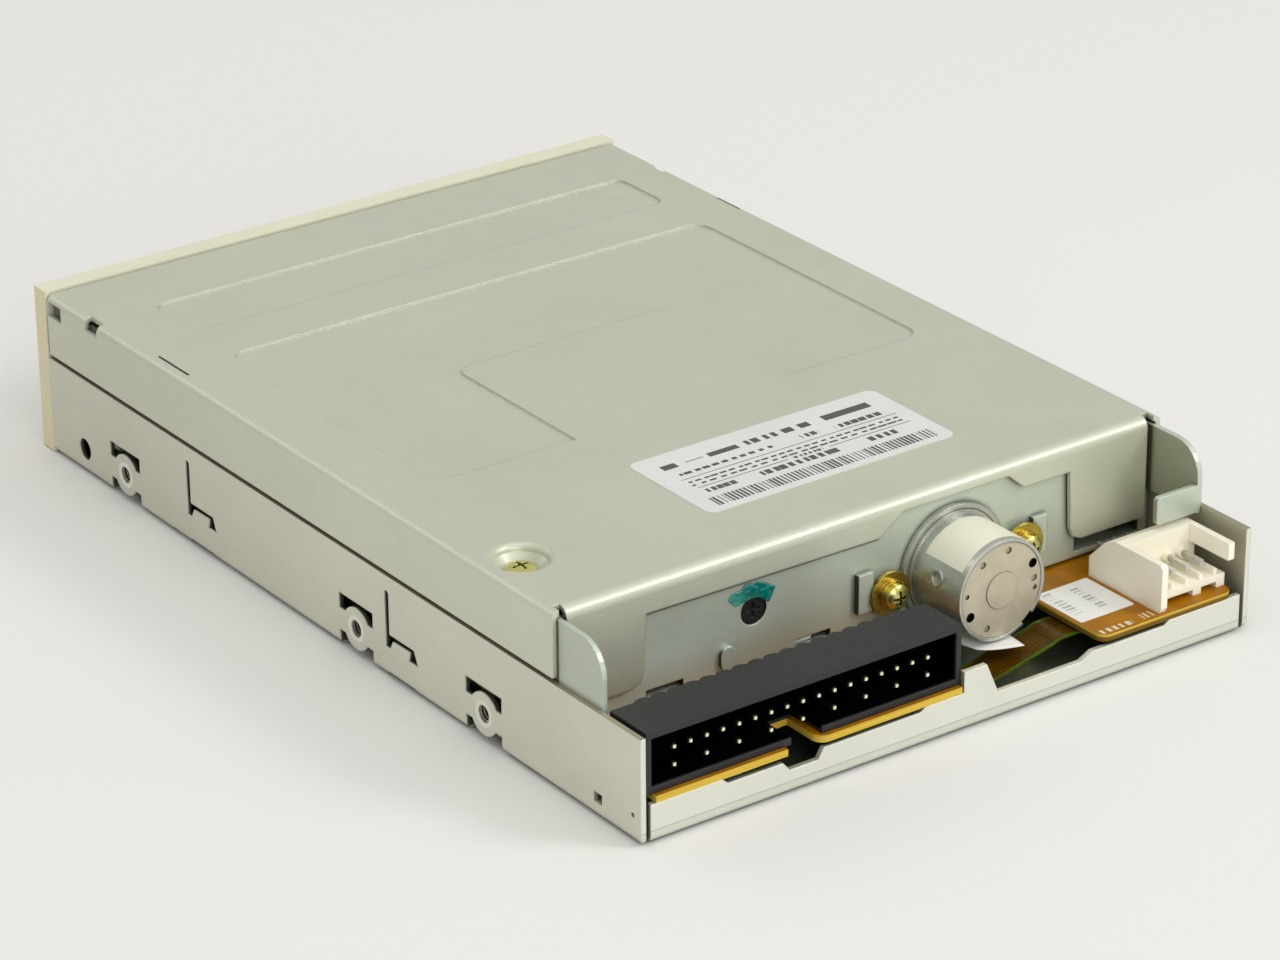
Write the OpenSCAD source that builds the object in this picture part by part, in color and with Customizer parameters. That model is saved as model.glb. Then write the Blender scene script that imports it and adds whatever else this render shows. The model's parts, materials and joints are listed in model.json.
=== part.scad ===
// Internal 3.5 inch floppy disk drive, built up from its separate pieces.
// +Z is up, the front panel faces -Y and the origin lies under the middle of the drive.
// Lengths are millimetres. Distances "from the front panel" start at the panel's back face.

/* [Overall] */
// Width of the drive
drive_w = 101.6; // [92:0.2:115]
// Height of the front panel
drive_h = 25.4; // [25.2:0.1:27]
// Depth behind the front panel
body_d = 147.4; // [133:0.1:165]
// Thickness of the base, chassis and cover sheet
sheet_t = 0.8; // [0.7:0.05:0.9]
// Inner radius of the sheet bends
bend_r = 0.4; // [0.3:0.1:0.7]

/* [Base] */
// Height of the side walls
wall_h = 15.1; // [14.4:0.1:15.4]
// Gap between the side walls and the cover
seam_gap = 0.7; // [0.3:0.1:0.9]
// Height of the rear lip, which carries the main board
lip_h = 5.5; // [5.2:0.1:5.8]

/* [Mounting holes] */
// Tapping diameter of the side mounting holes
mount_d = 2.5; // [2:0.1:3]
// Height of the mounting holes
mount_z = 4; // [3.6:0.1:4.4]
// Front mounting hole, from the front panel
mount_front = 21; // [20:0.5:24]
// Middle mounting hole, from the front panel
mount_mid = 82; // [80:0.5:84]
// Rear mounting hole, from the front panel
mount_rear = 112.5; // [110:0.5:116]

/* [Cover] */
// How far the cover lies below the top of the front panel
cover_drop = 0.3; // [0.2:0.1:0.6]
// Depth of the pressed panels in the cover
emboss = 0.35; // [0.2:0.05:0.5]
// Depth of the dimple round the cover screw
dimple_d = 2; // [1.4:0.1:2.4]

/* [Front panel] */
// Thickness of the front panel
bezel_t = 3.5; // [3.2:0.1:4.5]
// Thickness of the front panel's face
bezel_wall = 1.9; // [1.6:0.1:2.1]
// Width of the eject button
button_w = 14; // [11:0.5:16]
// Height of the eject button
button_h = 5.2; // [4.6:0.1:5.6]

/* [Disk and loading] */
// Room between the disk case and the outside of the drive
side_room = 5.8; // [5.4:0.1:7]
// Thickness of the disk case
disk_t = 3.3; // [3.2:0.1:3.5]
// Height of the loaded disk's middle
media_z = 12; // [11.9:0.1:12.3]
// How far the holder drops to load a disk
lift = 2.8; // [2.5:0.1:3]
// How far the slider moves to load a disk
slide_travel = 5; // [4.5:0.1:5.2]

/* [Spindle motor] */
// Diameter of the rotor cup
rotor_d = 48; // [44:0.5:50]
// Diameter of the hub plate
hub_d = 28; // [25:0.5:30]
// Diameter of the spindle shaft
shaft_d = 4; // [3:0.1:5]
// Number of stator poles
poles = 9; // [6:3:12]

/* [Heads] */
// Radius of the outermost track
track_r = 39.5; // [39:0.1:40]
// Travel of the head carriage
track_travel = 14.8; // [13:0.1:15]
// Diameter of the guide rods
rod_d = 3; // [2.6:0.1:3.2]
// Distance of each guide rod from the middle
rod_x = 9.5; // [9:0.1:9.7]

/* [Stepper motor] */
// Diameter of the motor can
can_d = 14.6; // [13.6:0.1:15]
// Length of the motor can behind the rear wall
can_l = 10.9; // [9:0.1:12]
// Sideways place of the motor axis
can_x = -14.8; // [-15.4:0.1:-14.6]
// Height of the motor axis
can_z = 12.8; // [12.6:0.1:13.2]
// Advance of the lead screw in one turn
screw_lead = 3.75; // [3.5:0.05:4.2]

/* [Boards and connectors] */
// Depth of the connectors behind the rear wall
connector_room = 19.9; // [18:0.1:22]
// Thickness of the main board
board_t = 1; // [0.8:0.1:1.2]
// Pitch of the data connector's pins
data_pitch = 2.54; // [2.4:0.02:2.6]
// Height of the data connector
data_h = 8.8; // [8.4:0.1:9.2]
// Pitch of the power connector's pins
power_pitch = 2.5; // [2.3:0.05:2.54]

/* [Clearances] */
// Radial clearance of a turning or sliding round fit
run_gap = 0.05; // [0.03:0.01:0.08]
// Radial clearance of a fixed round fit
seat_gap = 0.02; // [0.01:0.01:0.05]
// Clearance between flat moving pieces
move_gap = 0.3; // [0.2:0.05:0.4]

/* [Hidden] */
$fn = 48;

// Colours of the materials
galvanised = [0.72, 0.73, 0.66];
plated = [0.66, 0.70, 0.68];
ivory = [0.85, 0.83, 0.74];
charcoal = [0.2, 0.2, 0.2];
brass = [0.76, 0.62, 0.3];
phenolic = [0.62, 0.4, 0.14];
gold = [0.85, 0.68, 0.3];
nylon = [0.93, 0.91, 0.85];
copper = [0.72, 0.43, 0.25];
ferrite = [0.28, 0.28, 0.3];
bright = [0.78, 0.78, 0.8];
amber = [0.6, 0.36, 0.12];

// Faces of the case, from the middle outwards
overall_d = body_d + bezel_t;
hw = drive_w/2;
in_x = hw - sheet_t;
wall_x = in_x - sheet_t;
cover_top = drive_h - cover_drop;
cover_in = cover_top - sheet_t;
cover_edge = wall_h + seam_gap;
chassis_top = cover_in - bend_r;
rear_wall = body_d - connector_room;
cover_d = rear_wall + 0.2 + sheet_t;
cover_bend = sheet_t + 0.8;
cover_front = 0.5;
flange_x = wall_x - 0.7;
ear_d = rear_wall + 10.7;
lip_x = in_x - 0.7;

// Heights of the boards and the deck
board_z = lip_h;
board_top = board_z + board_t;
deck_z = board_top + 0.5;
deck_top = deck_z + sheet_t;

// Head carriage and its room, from the rear wall forwards to the loaded disk
carriage_back = rear_wall - 6;
block_at = carriage_back - 8.5;
disk_back = block_at - track_travel - 3.2;

// Disk bay with the holder raised
disk_w = drive_w - 2*side_room;
disk_rest = media_z - disk_t/2;
bay_floor = disk_rest + lift - 0.15;
bay_h = disk_t + 0.9;
bay_top = bay_floor + bay_h;
holder_t = 0.6;
holder_top = bay_top + holder_t;
holder_hw = disk_w/2 + 0.8 + holder_t;
holder_front = 7.5;
holder_back = disk_back + 2;
bay_lip = 4.6;
pin_r = 1;
pin_z = bay_top - 1.7;
pin_places = [20, disk_back - 20];

// Eject slider
slider_t = 0.8;
slider_x = holder_hw + 0.6;
slider_out = slider_x + slider_t;
slider_z = holder_top + 2.6;
slider_top = slider_z + slider_t;
slider_front = 8;
slider_back = disk_back - 1;
ear_len = 16;
tab_places = [34, disk_back - 11];
tab_len = 6;
arm_front = slide_travel + 0.4;
strip_z = 4.4;

// Eject button and lamp
button_x = hw - 15.8;
button_z = 6.5;
lamp_x = -(hw - 14.8);
lamp_z = 6.5;

// Slot door
slot_hw = disk_w/2 + 1;
slot_z = bay_floor - 0.4;
slot_top = bay_top;
door_hw = slot_hw + 0.4;
door_face = 0.1 - bezel_t + bezel_wall;
door_t = 1;
door_axis_at = door_face + 1.2;
door_axis_z = slot_top + 1.2;
door_pin_r = 0.6;

// Shutter lever
lever_z = holder_top + 0.1;
lever_t = 0.8;
lever_at = [-(holder_hw - 8.4), disk_back - 2];
lever_len = 28;
lever_rest = -70;
lever_swing = 70;
lever_pin_r = 1.2;

// Springs
wire_d = 0.4;
slider_spring_x = slider_out - 3.2;
slider_spring_r = 0.9;
slider_spring_z = slider_top + 0.2 + slider_spring_r + wire_d/2;
slider_hook_at = disk_back - 25;
chassis_hook_at = slider_hook_at - 26;
lever_wire_d = 0.3;
lever_spring_r = 0.5;
lever_spring_z = lever_z + lever_t + 0.1 + lever_spring_r + lever_wire_d/2;
lever_hook = lever_at + 8*[cos(lever_rest), sin(lever_rest)];
lever_post = [lever_at.x - 2, lever_at.y - 23];

// Spindle motor
spindle_at = disk_back - 46;
rotor_r = rotor_d/2;
rotor_wall = 0.8;
rotor_top = 8;
rotor_low = 3.2;
magnet_t = 2.8;
magnet_r = rotor_r - rotor_wall;
hub_top = media_z - 1.36;
shaft_r = shaft_d/2;
shaft_top = hub_top + 1.2;
bush_r = shaft_r + 3.5;
bush_low = sheet_t + 1.2;
pole_r = magnet_r - magnet_t - 1.4;
drive_pin_r = 1.6;
drive_pin_at = hub_d/2 - 3.8;
rotor_hole = rotor_r + 1.5;

// Head carriage at the outermost track
track_at = spindle_at + track_r;
arm_at = block_at + 2.5;
arm_z = disk_rest + 6.05;
arm_reach = arm_at - track_at;
arm_deg = asin((bay_top + 0.15 - media_z)/arm_reach);
rod_r = rod_d/2;
rod_z = deck_top + 0.8;
slab_top = disk_rest - 0.25;
slab_front = track_at + 1.7;
slab_hw = rod_x + 2.6;
rod_front = slab_front - track_travel - 1.2;
rod_stop = rear_wall - sheet_t;
needle_at = block_at + 5;
needle_r = 0.45;

// Lead screw
screw_r = 1.6;
screw_root = 1.1;
screw_shaft_r = 1;
screw_front = disk_back + 1.6;
thread_at = screw_front + 2.4;
thread_l = needle_at + 3.5 - thread_at;
groove_deg = 126;

// Stepper motor
can_r = can_d/2;
flange_r = can_r + 1.35;
flange_t = 0.9;
washer_r = 3.2;
washer_t = 0.5;
spring_t = 0.6;
spring_r = 2.1;
clamp_x = flange_r + washer_r - 0.25;
clamp_at = [[can_x + clamp_x - 0.5, can_z - 1], [can_x - clamp_x - 0.3, can_z - 0.5]];
rotor_clear = 0.6;

// Switches
switch_at = 13;
switch_top = disk_rest - 0.15;
plunger_r = 0.9;
plunger_travel = 1.2;
plunger_top = switch_top + 1.45;

// Connectors
data_l = 50.5;
data_x = hw - 26.6;
data_back = body_d - 8.9;
data_face = body_d - 0.7;
data_cols = 17;
data_wall = 1;
data_end = 0.8;
data_pin = 0.64;
key_w = 5;
key_shift = 1;
lobe = 0.55;
power_x = -(hw - 9.05);
power_w = 12.9;
power_back = body_d - 15.1;
power_face = body_d - 0.3;
power_pin = 0.7;
tab_x = data_x - data_l/2 - 0.1;
notch_x0 = can_x - 10;
notch_x1 = tab_x - 2.8;

// Screws through the deck and the board into the base
post_x = hw - 10.8;
post_at = disk_back + 6;
post_r = 2.6;
screw_tap_r = 1.4;
wall_screw_x = hw - 32.6;

// Y of a plane at a distance from the front panel's back face
function at(d) = bezel_t - overall_d/2 + d;

// Points along an arc
function arc(c, r, a0, a1, n = 6) = [for (i = [0:n]) let (a = a0 + (a1 - a0)*i/n) c + r*[cos(a), sin(a)]];

// Rectangle with rounded corners
function round_rect(lo, hi, r) = concat(
    arc([hi.x - r, hi.y - r], r, 0, 90), arc([lo.x + r, hi.y - r], r, 90, 180),
    arc([lo.x + r, lo.y + r], r, 180, 270), arc([hi.x - r, lo.y + r], r, 270, 360));

// Bent sheet with a flat bottom and two walls
function u_profile(w, h, t, r) = concat(
    [[-w, h]], arc([-w + t + r, t + r], t + r, 180, 270), arc([w - t - r, t + r], t + r, 270, 360),
    [[w, h], [w - t, h]], arc([w - t - r, t + r], r, 360, 270), arc([-w + t + r, t + r], r, 270, 180),
    [[-w + t, h]]);

// Flat outlines pushed along one axis: (Y, Z) along X, (X, Z) along Y, (X, Y) along Z
module along_x(x, t) translate([x, 0, 0]) rotate([90, 0, 90]) linear_extrude(t) children();
module along_y(y, t) translate([0, y + t, 0]) rotate([90, 0, 0]) linear_extrude(t) children();
module along_z(z, t) translate([0, 0, z]) linear_extrude(t) children();

// Cylinders from a point along one axis
module bar_x(p, r, l) translate(p) rotate([0, 90, 0]) cylinder(r = r, h = l);
module bar_y(p, r, l) translate(p) rotate([-90, 0, 0]) cylinder(r = r, h = l);
module bar_z(p, r, l) translate(p) cylinder(r = r, h = l);

// Box between two corners, with Y given from the front panel
module block(lo, hi) translate([lo.x, at(lo.y), lo.z]) cube(hi - lo);

// Flat slot with round ends
module capsule(p, q, r) {
    a = atan2(q.y - p.y, q.x - p.x);
    polygon(concat(arc(p, r, a + 90, a + 270, 12), arc(q, r, a - 90, a + 90, 12)));
}

module both_sides() {
    children();
    mirror([1, 0, 0]) children();
}

// Coil along Z: points of its centre line, and a closed tube round it
function coil_line(r, pitch, turns) = [for (i = [0:8*turns]) [r*cos(45*i), r*sin(45*i), pitch*i/8]];
function coil_gap(r, pitch, turns, wire) = let (p = coil_line(r, pitch, turns))
    min([for (i = [0:len(p) - 6]) for (j = [i + 5:len(p) - 1]) norm(p[i] - p[j])]) - wire;

// Closed solid through rings of equal length, first ring to last
module loft(rings) {
    n = len(rings) - 1;
    sides = len(rings[0]);
    walls = [for (i = [0:n - 1]) for (j = [0:sides - 1]) let (k = (j + 1) % sides, a = i*sides, b = a + sides)
        for (f = [[a + j, b + j, b + k], [a + j, b + k, a + k]]) f];
    low = [for (j = [0:sides - 1]) j];
    high = [for (j = [0:sides - 1]) n*sides + sides - 1 - j];
    polyhedron([for (ring = rings) for (p = ring) p], concat(walls, [low, high]));
}

module coil(r, pitch, turns, wire) loft([for (i = [0:8*turns]) [for (j = [0:5])
    let (reach = r + wire/2*cos(60*j)) [reach*cos(45*i), reach*sin(45*i), pitch*i/8 + wire/2*sin(60*j)]]]);

// Case

lip_outline = [
    [lip_x, 0], [lip_x, lip_h], [hw - 12.7, lip_h], [hw - 13.6, 4.7], [data_x + 4.3, 4.7], [data_x + 3.2, 3.4],
    [data_x - 1.4, 3.4], [data_x - 2.3, 4.9], [data_x - 18.1, 4.9], [data_x - 19, lip_h],
    [tab_x, lip_h], [tab_x, 8.5], [tab_x - 3.8, 8.5], [tab_x - 5.8, 3.9], [can_x - 6.4, 3.9], [can_x - 8.4, 4.9],
    [15.1 - hw, 4.9], [14.2 - hw, lip_h], [-lip_x, lip_h], [-lip_x, 0]
];

window_w = 8.4;
window_top = mount_z + 4;
ring_r = 3.1;
burr_r = 1.9;
burr_l = 1.6;

// Cut through the right wall between two corners given as (from the front panel, Z)
module wall_cut(lo, hi) block([in_x - 1.4, lo.x, lo.y], [hw + 1, hi.x, hi.y]);

// Lance in the right wall: a slit down to a hooked tab, with a relief in the bottom bend
module wall_lance(d) along_x(in_x - 1.4, sheet_t + 2.4) translate([at(d), 0]) {
    capsule([0.5, 6], [0.5, 12.4], 0.5);
    difference() {
        polygon([[0, 4.4], [0, 6.5], [6.9, 6.5], [7.8, 4.4]]);
        polygon([[0.9, 4], [1.8, 5.75], [5.9, 5.85], [5.5, 4]]);
    }
    translate([0.5, -1]) square([6.4, 1.8]);
}

// Threaded boss held in its window by two bridges
module mount_boss(d) difference() {
    union() {
        along_x(in_x, sheet_t) translate([at(d), mount_z]) {
            circle(ring_r);
            translate([-window_w/2, -1.6]) square([window_w, 3.2]);
        }
        bar_x([in_x - burr_l, at(d), mount_z], burr_r, burr_l + sheet_t/2);
    }
    bar_x([in_x - burr_l - 1, at(d), mount_z], mount_d/2, burr_l + sheet_t + 2);
}

module base_frame() color(galvanised) {
    difference() {
        union() {
            along_y(at(0), body_d) polygon(u_profile(hw, wall_h, sheet_t, bend_r));
            along_y(at(body_d - sheet_t), sheet_t) polygon(lip_outline);
            both_sides() bar_z([post_x, at(post_at), sheet_t/2], post_r, board_z - sheet_t/2);
        }
        both_sides() {
            for (d = [mount_front, mount_mid, mount_rear])
                wall_cut([d - window_w/2, -1], [d + window_w/2, window_top]);
            bar_x([in_x - 1, at(9.4), mount_z - 0.2], 1.65, sheet_t + 2);
            for (d = [mount_front + 17.3, mount_mid + 7.3]) wall_lance(d);
            wall_cut([body_d - 10.3, 2.1], [body_d - 8.4, 3.6]);
            for (d = [mount_front + 5.5, mount_front + 13.4]) wall_cut([d - 0.4, -1], [d + 0.4, 0.7]);
            bar_x([in_x - 1, at(body_d - 1.8), 3.8], 0.35, sheet_t + 2);
            block([lip_x, body_d - 2.5, -1], [in_x, body_d + 1, wall_h + 1]);
            bar_z([post_x, at(post_at), -1], screw_tap_r + seat_gap, board_z + 2);
        }
        bar_z([0, at(spindle_at), -1], shaft_r + 2, sheet_t + 2);
        along_x(-hw - 1, drive_w + 2) polygon(concat(
            [[at(body_d) + 1, -1], [at(body_d) - 1, -1]], arc([at(body_d) - 1, 1], 1, 270, 360), [[at(body_d) + 1, 1]]));
    }
    both_sides() for (d = [mount_front, mount_mid, mount_rear]) mount_boss(d);
}

// Upright bracket of the chassis across the drive: sides, front face, top
module bracket(x0, x1, d, top) block([x0, d, deck_top - 0.2], [x1, d + sheet_t, top]);

hook_z = chassis_top - 2.4;
hook_low_z = slot_z - 1;
screw_tab_z = cover_top - sheet_t - dimple_d;
dimple_r = 4.7;
screw_at = [hw - 6.1, rear_wall - 14.7];

module chassis() color(plated) difference() {
    union() {
        translate([0, 0, deck_z]) along_y(at(1), rear_wall - 1)
            polygon(u_profile(in_x, chassis_top - deck_z, sheet_t, bend_r));
        block([-in_x + 0.1, rear_wall - sheet_t, deck_z], [in_x - 0.1, rear_wall, chassis_top - 0.5]);
        // Ears behind the rear wall, and the folded tab of the left one
        both_sides() along_x(wall_x, sheet_t) polygon(concat(
            [[at(rear_wall - 1), wall_h - 1], [at(ear_d), wall_h - 1]],
            arc([at(ear_d) - 4.5, chassis_top - 4.5], 4.5, 0, 90), [[at(rear_wall - 1), chassis_top]]));
        along_y(at(ear_d - sheet_t), sheet_t) polygon(round_rect([-wall_x - 0.6, 14.3], [-wall_x + 7.2, 18.4], 0.6));
        // Pads that level the motor washers
        for (s = [-1, 1]) block([can_x + s*(clamp_x + 3.4) - 1.25, rear_wall - 0.1, can_z - 2.9],
            [can_x + s*(clamp_x + 3.4) + 1.25, rear_wall + flange_t, can_z + 2.8]);
        along_y(at(rear_wall - 0.1), 0.7) capsule([hw - 28.2, deck_z + 2.4], [hw - 28.2, deck_z + 3.3], 1.3);
        // Brackets of the guide rods and the lead screw
        for (x = [-rod_x, rod_x]) for (d = [rod_front, rod_stop - 3.2])
            bracket(x - 2.4, x + 2.4, d, rod_z + rod_r + 0.1);
        bracket(can_x - 2.6, -slab_hw - 0.4, screw_front, can_z + 2.6);
        // Tab for the cover screw and hooks for the slider springs
        block([screw_at.x - 4, screw_at.y - 4.5, screw_tab_z - sheet_t], [wall_x + 0.1, screw_at.y + 4.5, screw_tab_z]);
        both_sides() block([slider_spring_x - 0.8, chassis_hook_at - 0.8, slider_spring_z - 0.4],
            [wall_x + 0.1, chassis_hook_at, slider_spring_z + 0.4]);
        // Rests for the disk and seats on the board
        both_sides() {
            bar_z([holder_hw - 16.4, at(22), deck_top - 0.2], 2.2, disk_rest - deck_top + 0.2);
            bar_z([holder_hw - 12.4, at(disk_back - 11), deck_top - 0.2], 2.2, disk_rest - deck_top + 0.2);
            bar_z([post_x, at(post_at), board_top], post_r, deck_z - board_top + 0.2);
        }
    }
    // Deck openings
    block([-wall_x + bend_r, 0, deck_z - 1], [wall_x - bend_r, 9, deck_top + 1]);
    bar_z([0, at(spindle_at), deck_z - 1], rotor_hole, sheet_t + 2);
    block([-slab_hw - 0.3, rod_front + sheet_t + 0.2, deck_z - 1], [slab_hw + 0.4, rod_stop - 3.4, deck_top + 1]);
    block([-rod_x + 2.5, spindle_at, deck_z - 1], [rod_x - 2.5, rod_front + 3, deck_top + 1]);
    block([slider_x - 0.4, 8, deck_z - 1], [slider_out + 0.4, pin_places[0] + ear_len - 4, deck_top + 1]);
    // Guide slots of the holder pins, slider windows and panel hooks
    both_sides() {
        for (d = pin_places) along_x(wall_x - 1, sheet_t + 2)
            capsule([at(d), pin_z - lift], [at(d), pin_z], pin_r + 0.15);
        for (d = tab_places) block([wall_x - 1, d - slide_travel - move_gap, slider_z - 0.25],
            [hw, d + tab_len + move_gap, slider_top + 0.25]);
        for (z = [hook_z, hook_low_z]) block([wall_x - 1, 3.4, z - 1.4], [hw, 5.5, z + 1.4]);
        bar_z([post_x, at(post_at), board_top - 1], screw_tap_r + 0.2, 4);
    }
    // Round holes of the brackets and the rear wall
    for (x = [-rod_x, rod_x]) bar_y([x, at(rod_front) - 1, rod_z], rod_r + seat_gap, rod_stop - rod_front + 1);
    bar_y([can_x, at(screw_front) - 1, can_z], screw_shaft_r + 0.8 + seat_gap, sheet_t + 2);
    bar_y([can_x, at(rear_wall) - 2, can_z], can_r - 2.2, 4);
    for (c = clamp_at) bar_y([c.x, at(rear_wall) - 2, c.y], 1.2 + seat_gap, 4);
    bar_y([wall_screw_x, at(rear_wall) - 2, can_z + 2.6], 2.1, 4);
    block([-wall_x + 1, rear_wall - 2, deck_top], [-wall_x + 12.5, rear_wall + 1, deck_top + 4.4]);
    for (x = [hw - 21.2, hw - 45.3]) block([x, rear_wall - 2, deck_top], [x + 6, rear_wall + 1, deck_top + 1.1]);
    bar_z([screw_at.x, at(screw_at.y), screw_tab_z - 2], 1.25 + seat_gap, 3);
}

// Lower edge of the cover's rear flange, from the right to the left
rear_edge = [
    [flange_x, 10.4], [hw - 12.4, 10.4], [hw - 13.9, 11.2], [hw - 14.3, 12.6], [hw - 14.6, 20.6],
    [can_x + 12.9, 20.3], [can_x + 8.9, 23.2], [can_x - 9.1, 23.2], [can_x - 11.9, 20.8],
    [16 - hw, 20.8], [15.6 - hw, 12.2], [15.1 - hw, 10.8], [13.8 - hw, 10.2], [-flange_x, 10.2]
];

module cover_panel(z, t, grow) along_z(z, t) {
    polygon(round_rect([8.2 - hw - grow, at(13) - grow], [hw - 10.4 + grow, at(25) + grow], 2));
    difference() {
        polygon(round_rect([8.8 - hw - grow, at(34.6) - grow], [hw - 9.6 + grow, at(rear_wall - 40.1) + grow], 3));
        polygon(round_rect([-18 + grow, at(rear_wall - 69.5) + grow], [18 - grow, at(rear_wall - 35)], 2.4));
    }
}

module cover_channel(d0, d1) along_y(at(d0), d1 - d0) translate([0, cover_top]) mirror([0, 1])
    polygon(u_profile(hw, cover_top - cover_edge, sheet_t, bend_r));

module top_cover() color(galvanised) difference() {
    union() {
        cover_channel(cover_front, cover_d - cover_bend);
        // Side flanges run past the start of the rear bend
        both_sides() intersection() {
            cover_channel(cover_d - cover_bend - 0.1, cover_d - 0.1);
            block([flange_x + 1.1, 0, 0], [hw + 1, body_d, drive_h]);
        }
        // Rear bend and flange
        along_x(-flange_x, 2*flange_x) polygon(concat(
            arc([at(cover_d - cover_bend), cover_top - cover_bend], cover_bend, 0, 90),
            arc([at(cover_d - cover_bend), cover_top - cover_bend], cover_bend - sheet_t, 90, 0)));
        along_y(at(cover_d - sheet_t), sheet_t)
            polygon(concat(rear_edge, [[-flange_x, cover_top - cover_bend], [flange_x, cover_top - cover_bend]]));
        // Undersides of the pressed panels and of the screw dimple
        cover_panel(cover_in - emboss, emboss + 0.1, sheet_t/2);
        translate([screw_at.x, at(screw_at.y), screw_tab_z]) cylinder(r1 = 3.6, r2 = 4.9, h = cover_in - screw_tab_z + 0.1);
    }
    cover_panel(cover_top - emboss, emboss + 1, 0);
    translate([screw_at.x, at(screw_at.y), cover_top]) rotate_extrude() polygon(concat(
        [[0, -dimple_d], [2.8, -dimple_d]], arc([dimple_r, -1], 1, 180, 90), [[dimple_r, 1], [0, 1]]));
    bar_z([screw_at.x, at(screw_at.y), screw_tab_z - 1], 1.5, 4);
    // Notches in the flanges and the bends
    both_sides() {
        block([in_x - 0.1, -1, 21.9], [hw + 1, 4.4, cover_top - 0.9]);
        block([in_x - 0.6, 11.2, 23.2], [hw + 1, 14.7, cover_top + 1]);
    }
    block([in_x - 1.2, 29.1, cover_in - 0.4], [in_x - 0.75, 37.5, cover_top + 1]);
    block([-in_x - 0.4, 28, cover_in - 0.4], [-in_x + 0.4, 34, cover_top + 1]);
}

// Front panel, door, button and lamp

bezel_edge = 0.5;
rim_t = 1.6;
door_boss_x = door_hw + 1.4;

module bezel_hook(z) {
    block([wall_x - 1.2, -0.5 - bezel_t + bezel_wall, z - 1], [wall_x, 5.2, z + 1]);
    along_z(z - 1, 2) polygon([[wall_x - 0.1, at(3.7)], [wall_x + 0.7, at(3.7)], [wall_x + 0.2, at(5.2)], [wall_x - 0.1, at(5.2)]]);
}

module bezel() color(ivory) {
    difference() {
        intersection() {
            along_x(-hw, drive_w) polygon(concat([[at(0), 0]], [[at(0), drive_h]],
                arc([at(-bezel_t) + bezel_edge, drive_h - bezel_edge], bezel_edge, 90, 180),
                arc([at(-bezel_t) + bezel_edge, bezel_edge], bezel_edge, 180, 270)));
            along_z(0, drive_h) polygon(concat([[hw, at(0)], [-hw, at(0)]],
                arc([-hw + bezel_edge, at(-bezel_t) + bezel_edge], bezel_edge, 180, 270),
                arc([hw - bezel_edge, at(-bezel_t) + bezel_edge], bezel_edge, 270, 360)));
        }
        block([-hw + rim_t, bezel_wall - bezel_t, rim_t], [hw - rim_t, 1, drive_h - rim_t]);
        along_y(at(-bezel_t) - 1, bezel_wall + 2) {
            polygon(round_rect([-slot_hw, slot_z], [slot_hw, slot_top], 0.8));
            polygon(round_rect([button_x - button_w/2 - move_gap, button_z - button_h/2 - move_gap],
                [button_x + button_w/2 + move_gap, button_z + button_h/2 + move_gap], 0.8));
            translate([lamp_x - 2.5, lamp_z - 1.2]) square([5, 2.4]);
        }
        // Finger scoop across the slot
        bar_z([0, at(-bezel_t) - 28.9, slot_z - 3.6], 30, slot_top - slot_z + 7.2);
    }
    both_sides() {
        difference() {
            block([door_boss_x, bezel_wall - bezel_t - 0.3, door_axis_z - 1.5],
                [door_boss_x + 1.4, door_axis_at + 1.1, door_axis_z + 1.5]);
            bar_x([door_boss_x - 1, at(door_axis_at), door_axis_z], door_pin_r + run_gap, 4);
        }
        bezel_hook(hook_z);
        bezel_hook(hook_low_z);
    }
}

door_gap_hw = 3.5;

module slot_door() color(ivory) {
    difference() {
        block([-door_hw, door_face, slot_z - 0.4], [door_hw, door_face + door_t, slot_top + 0.6]);
        // Room for the spring
        block([-door_gap_hw, door_face - 1, door_axis_z - 1.2], [door_gap_hw, door_face + door_t + 1, slot_top + 1]);
    }
    both_sides() {
        bar_x([door_gap_hw, at(door_axis_at), door_axis_z], 0.9, door_hw - door_gap_hw);
        bar_x([door_hw - 0.2, at(door_axis_at), door_axis_z], door_pin_r, door_boss_x + 1.3 - door_hw + 0.2);
    }
    bar_x([-door_gap_hw - 0.5, at(door_axis_at), door_axis_z], 0.45, 2*door_gap_hw + 1);
}

module door_spring() color(bright) translate([-2.4, at(door_axis_at), door_axis_z]) rotate([0, 90, 0])
    coil(0.75, 0.8, 6, 0.3);

module eject_button() color(ivory) {
    intersection() {
        along_x(button_x - button_w/2, button_w) polygon(concat(
            [[at(arm_front), button_z - button_h/2], [at(arm_front), button_z + button_h/2]],
            arc([at(-bezel_t) + 0.8, button_z + button_h/2 - 0.8], 0.8, 90, 180),
            arc([at(-bezel_t) + 0.8, button_z - button_h/2 + 0.8], 0.8, 180, 270)));
        along_z(button_z - button_h/2 - 1, button_h + 2) polygon(concat(
            [[button_x + button_w/2, at(arm_front)], [button_x - button_w/2, at(arm_front)]],
            arc([button_x - button_w/2 + 0.8, at(-bezel_t) + 0.8], 0.8, 180, 270),
            arc([button_x + button_w/2 - 0.8, at(-bezel_t) + 0.8], 0.8, 270, 360)));
    }
    for (s = [-1, 1]) bar_y([button_x + s*(button_w/2 - 2.5), at(arm_front) - 0.2, button_z], 1, slider_t + 1.2);
}

module lamp_lens() color([0.35, 0.6, 0.3]) {
    block([lamp_x - 2.45, -bezel_t, lamp_z - 1.15], [lamp_x + 2.45, bezel_wall - bezel_t, lamp_z + 1.15]);
    block([lamp_x - 3.2, bezel_wall - bezel_t, lamp_z - 1.9], [lamp_x + 3.2, bezel_wall - bezel_t + 0.8, lamp_z + 1.9]);
}

lamp_face = bezel_wall - bezel_t + 0.8;

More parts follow.
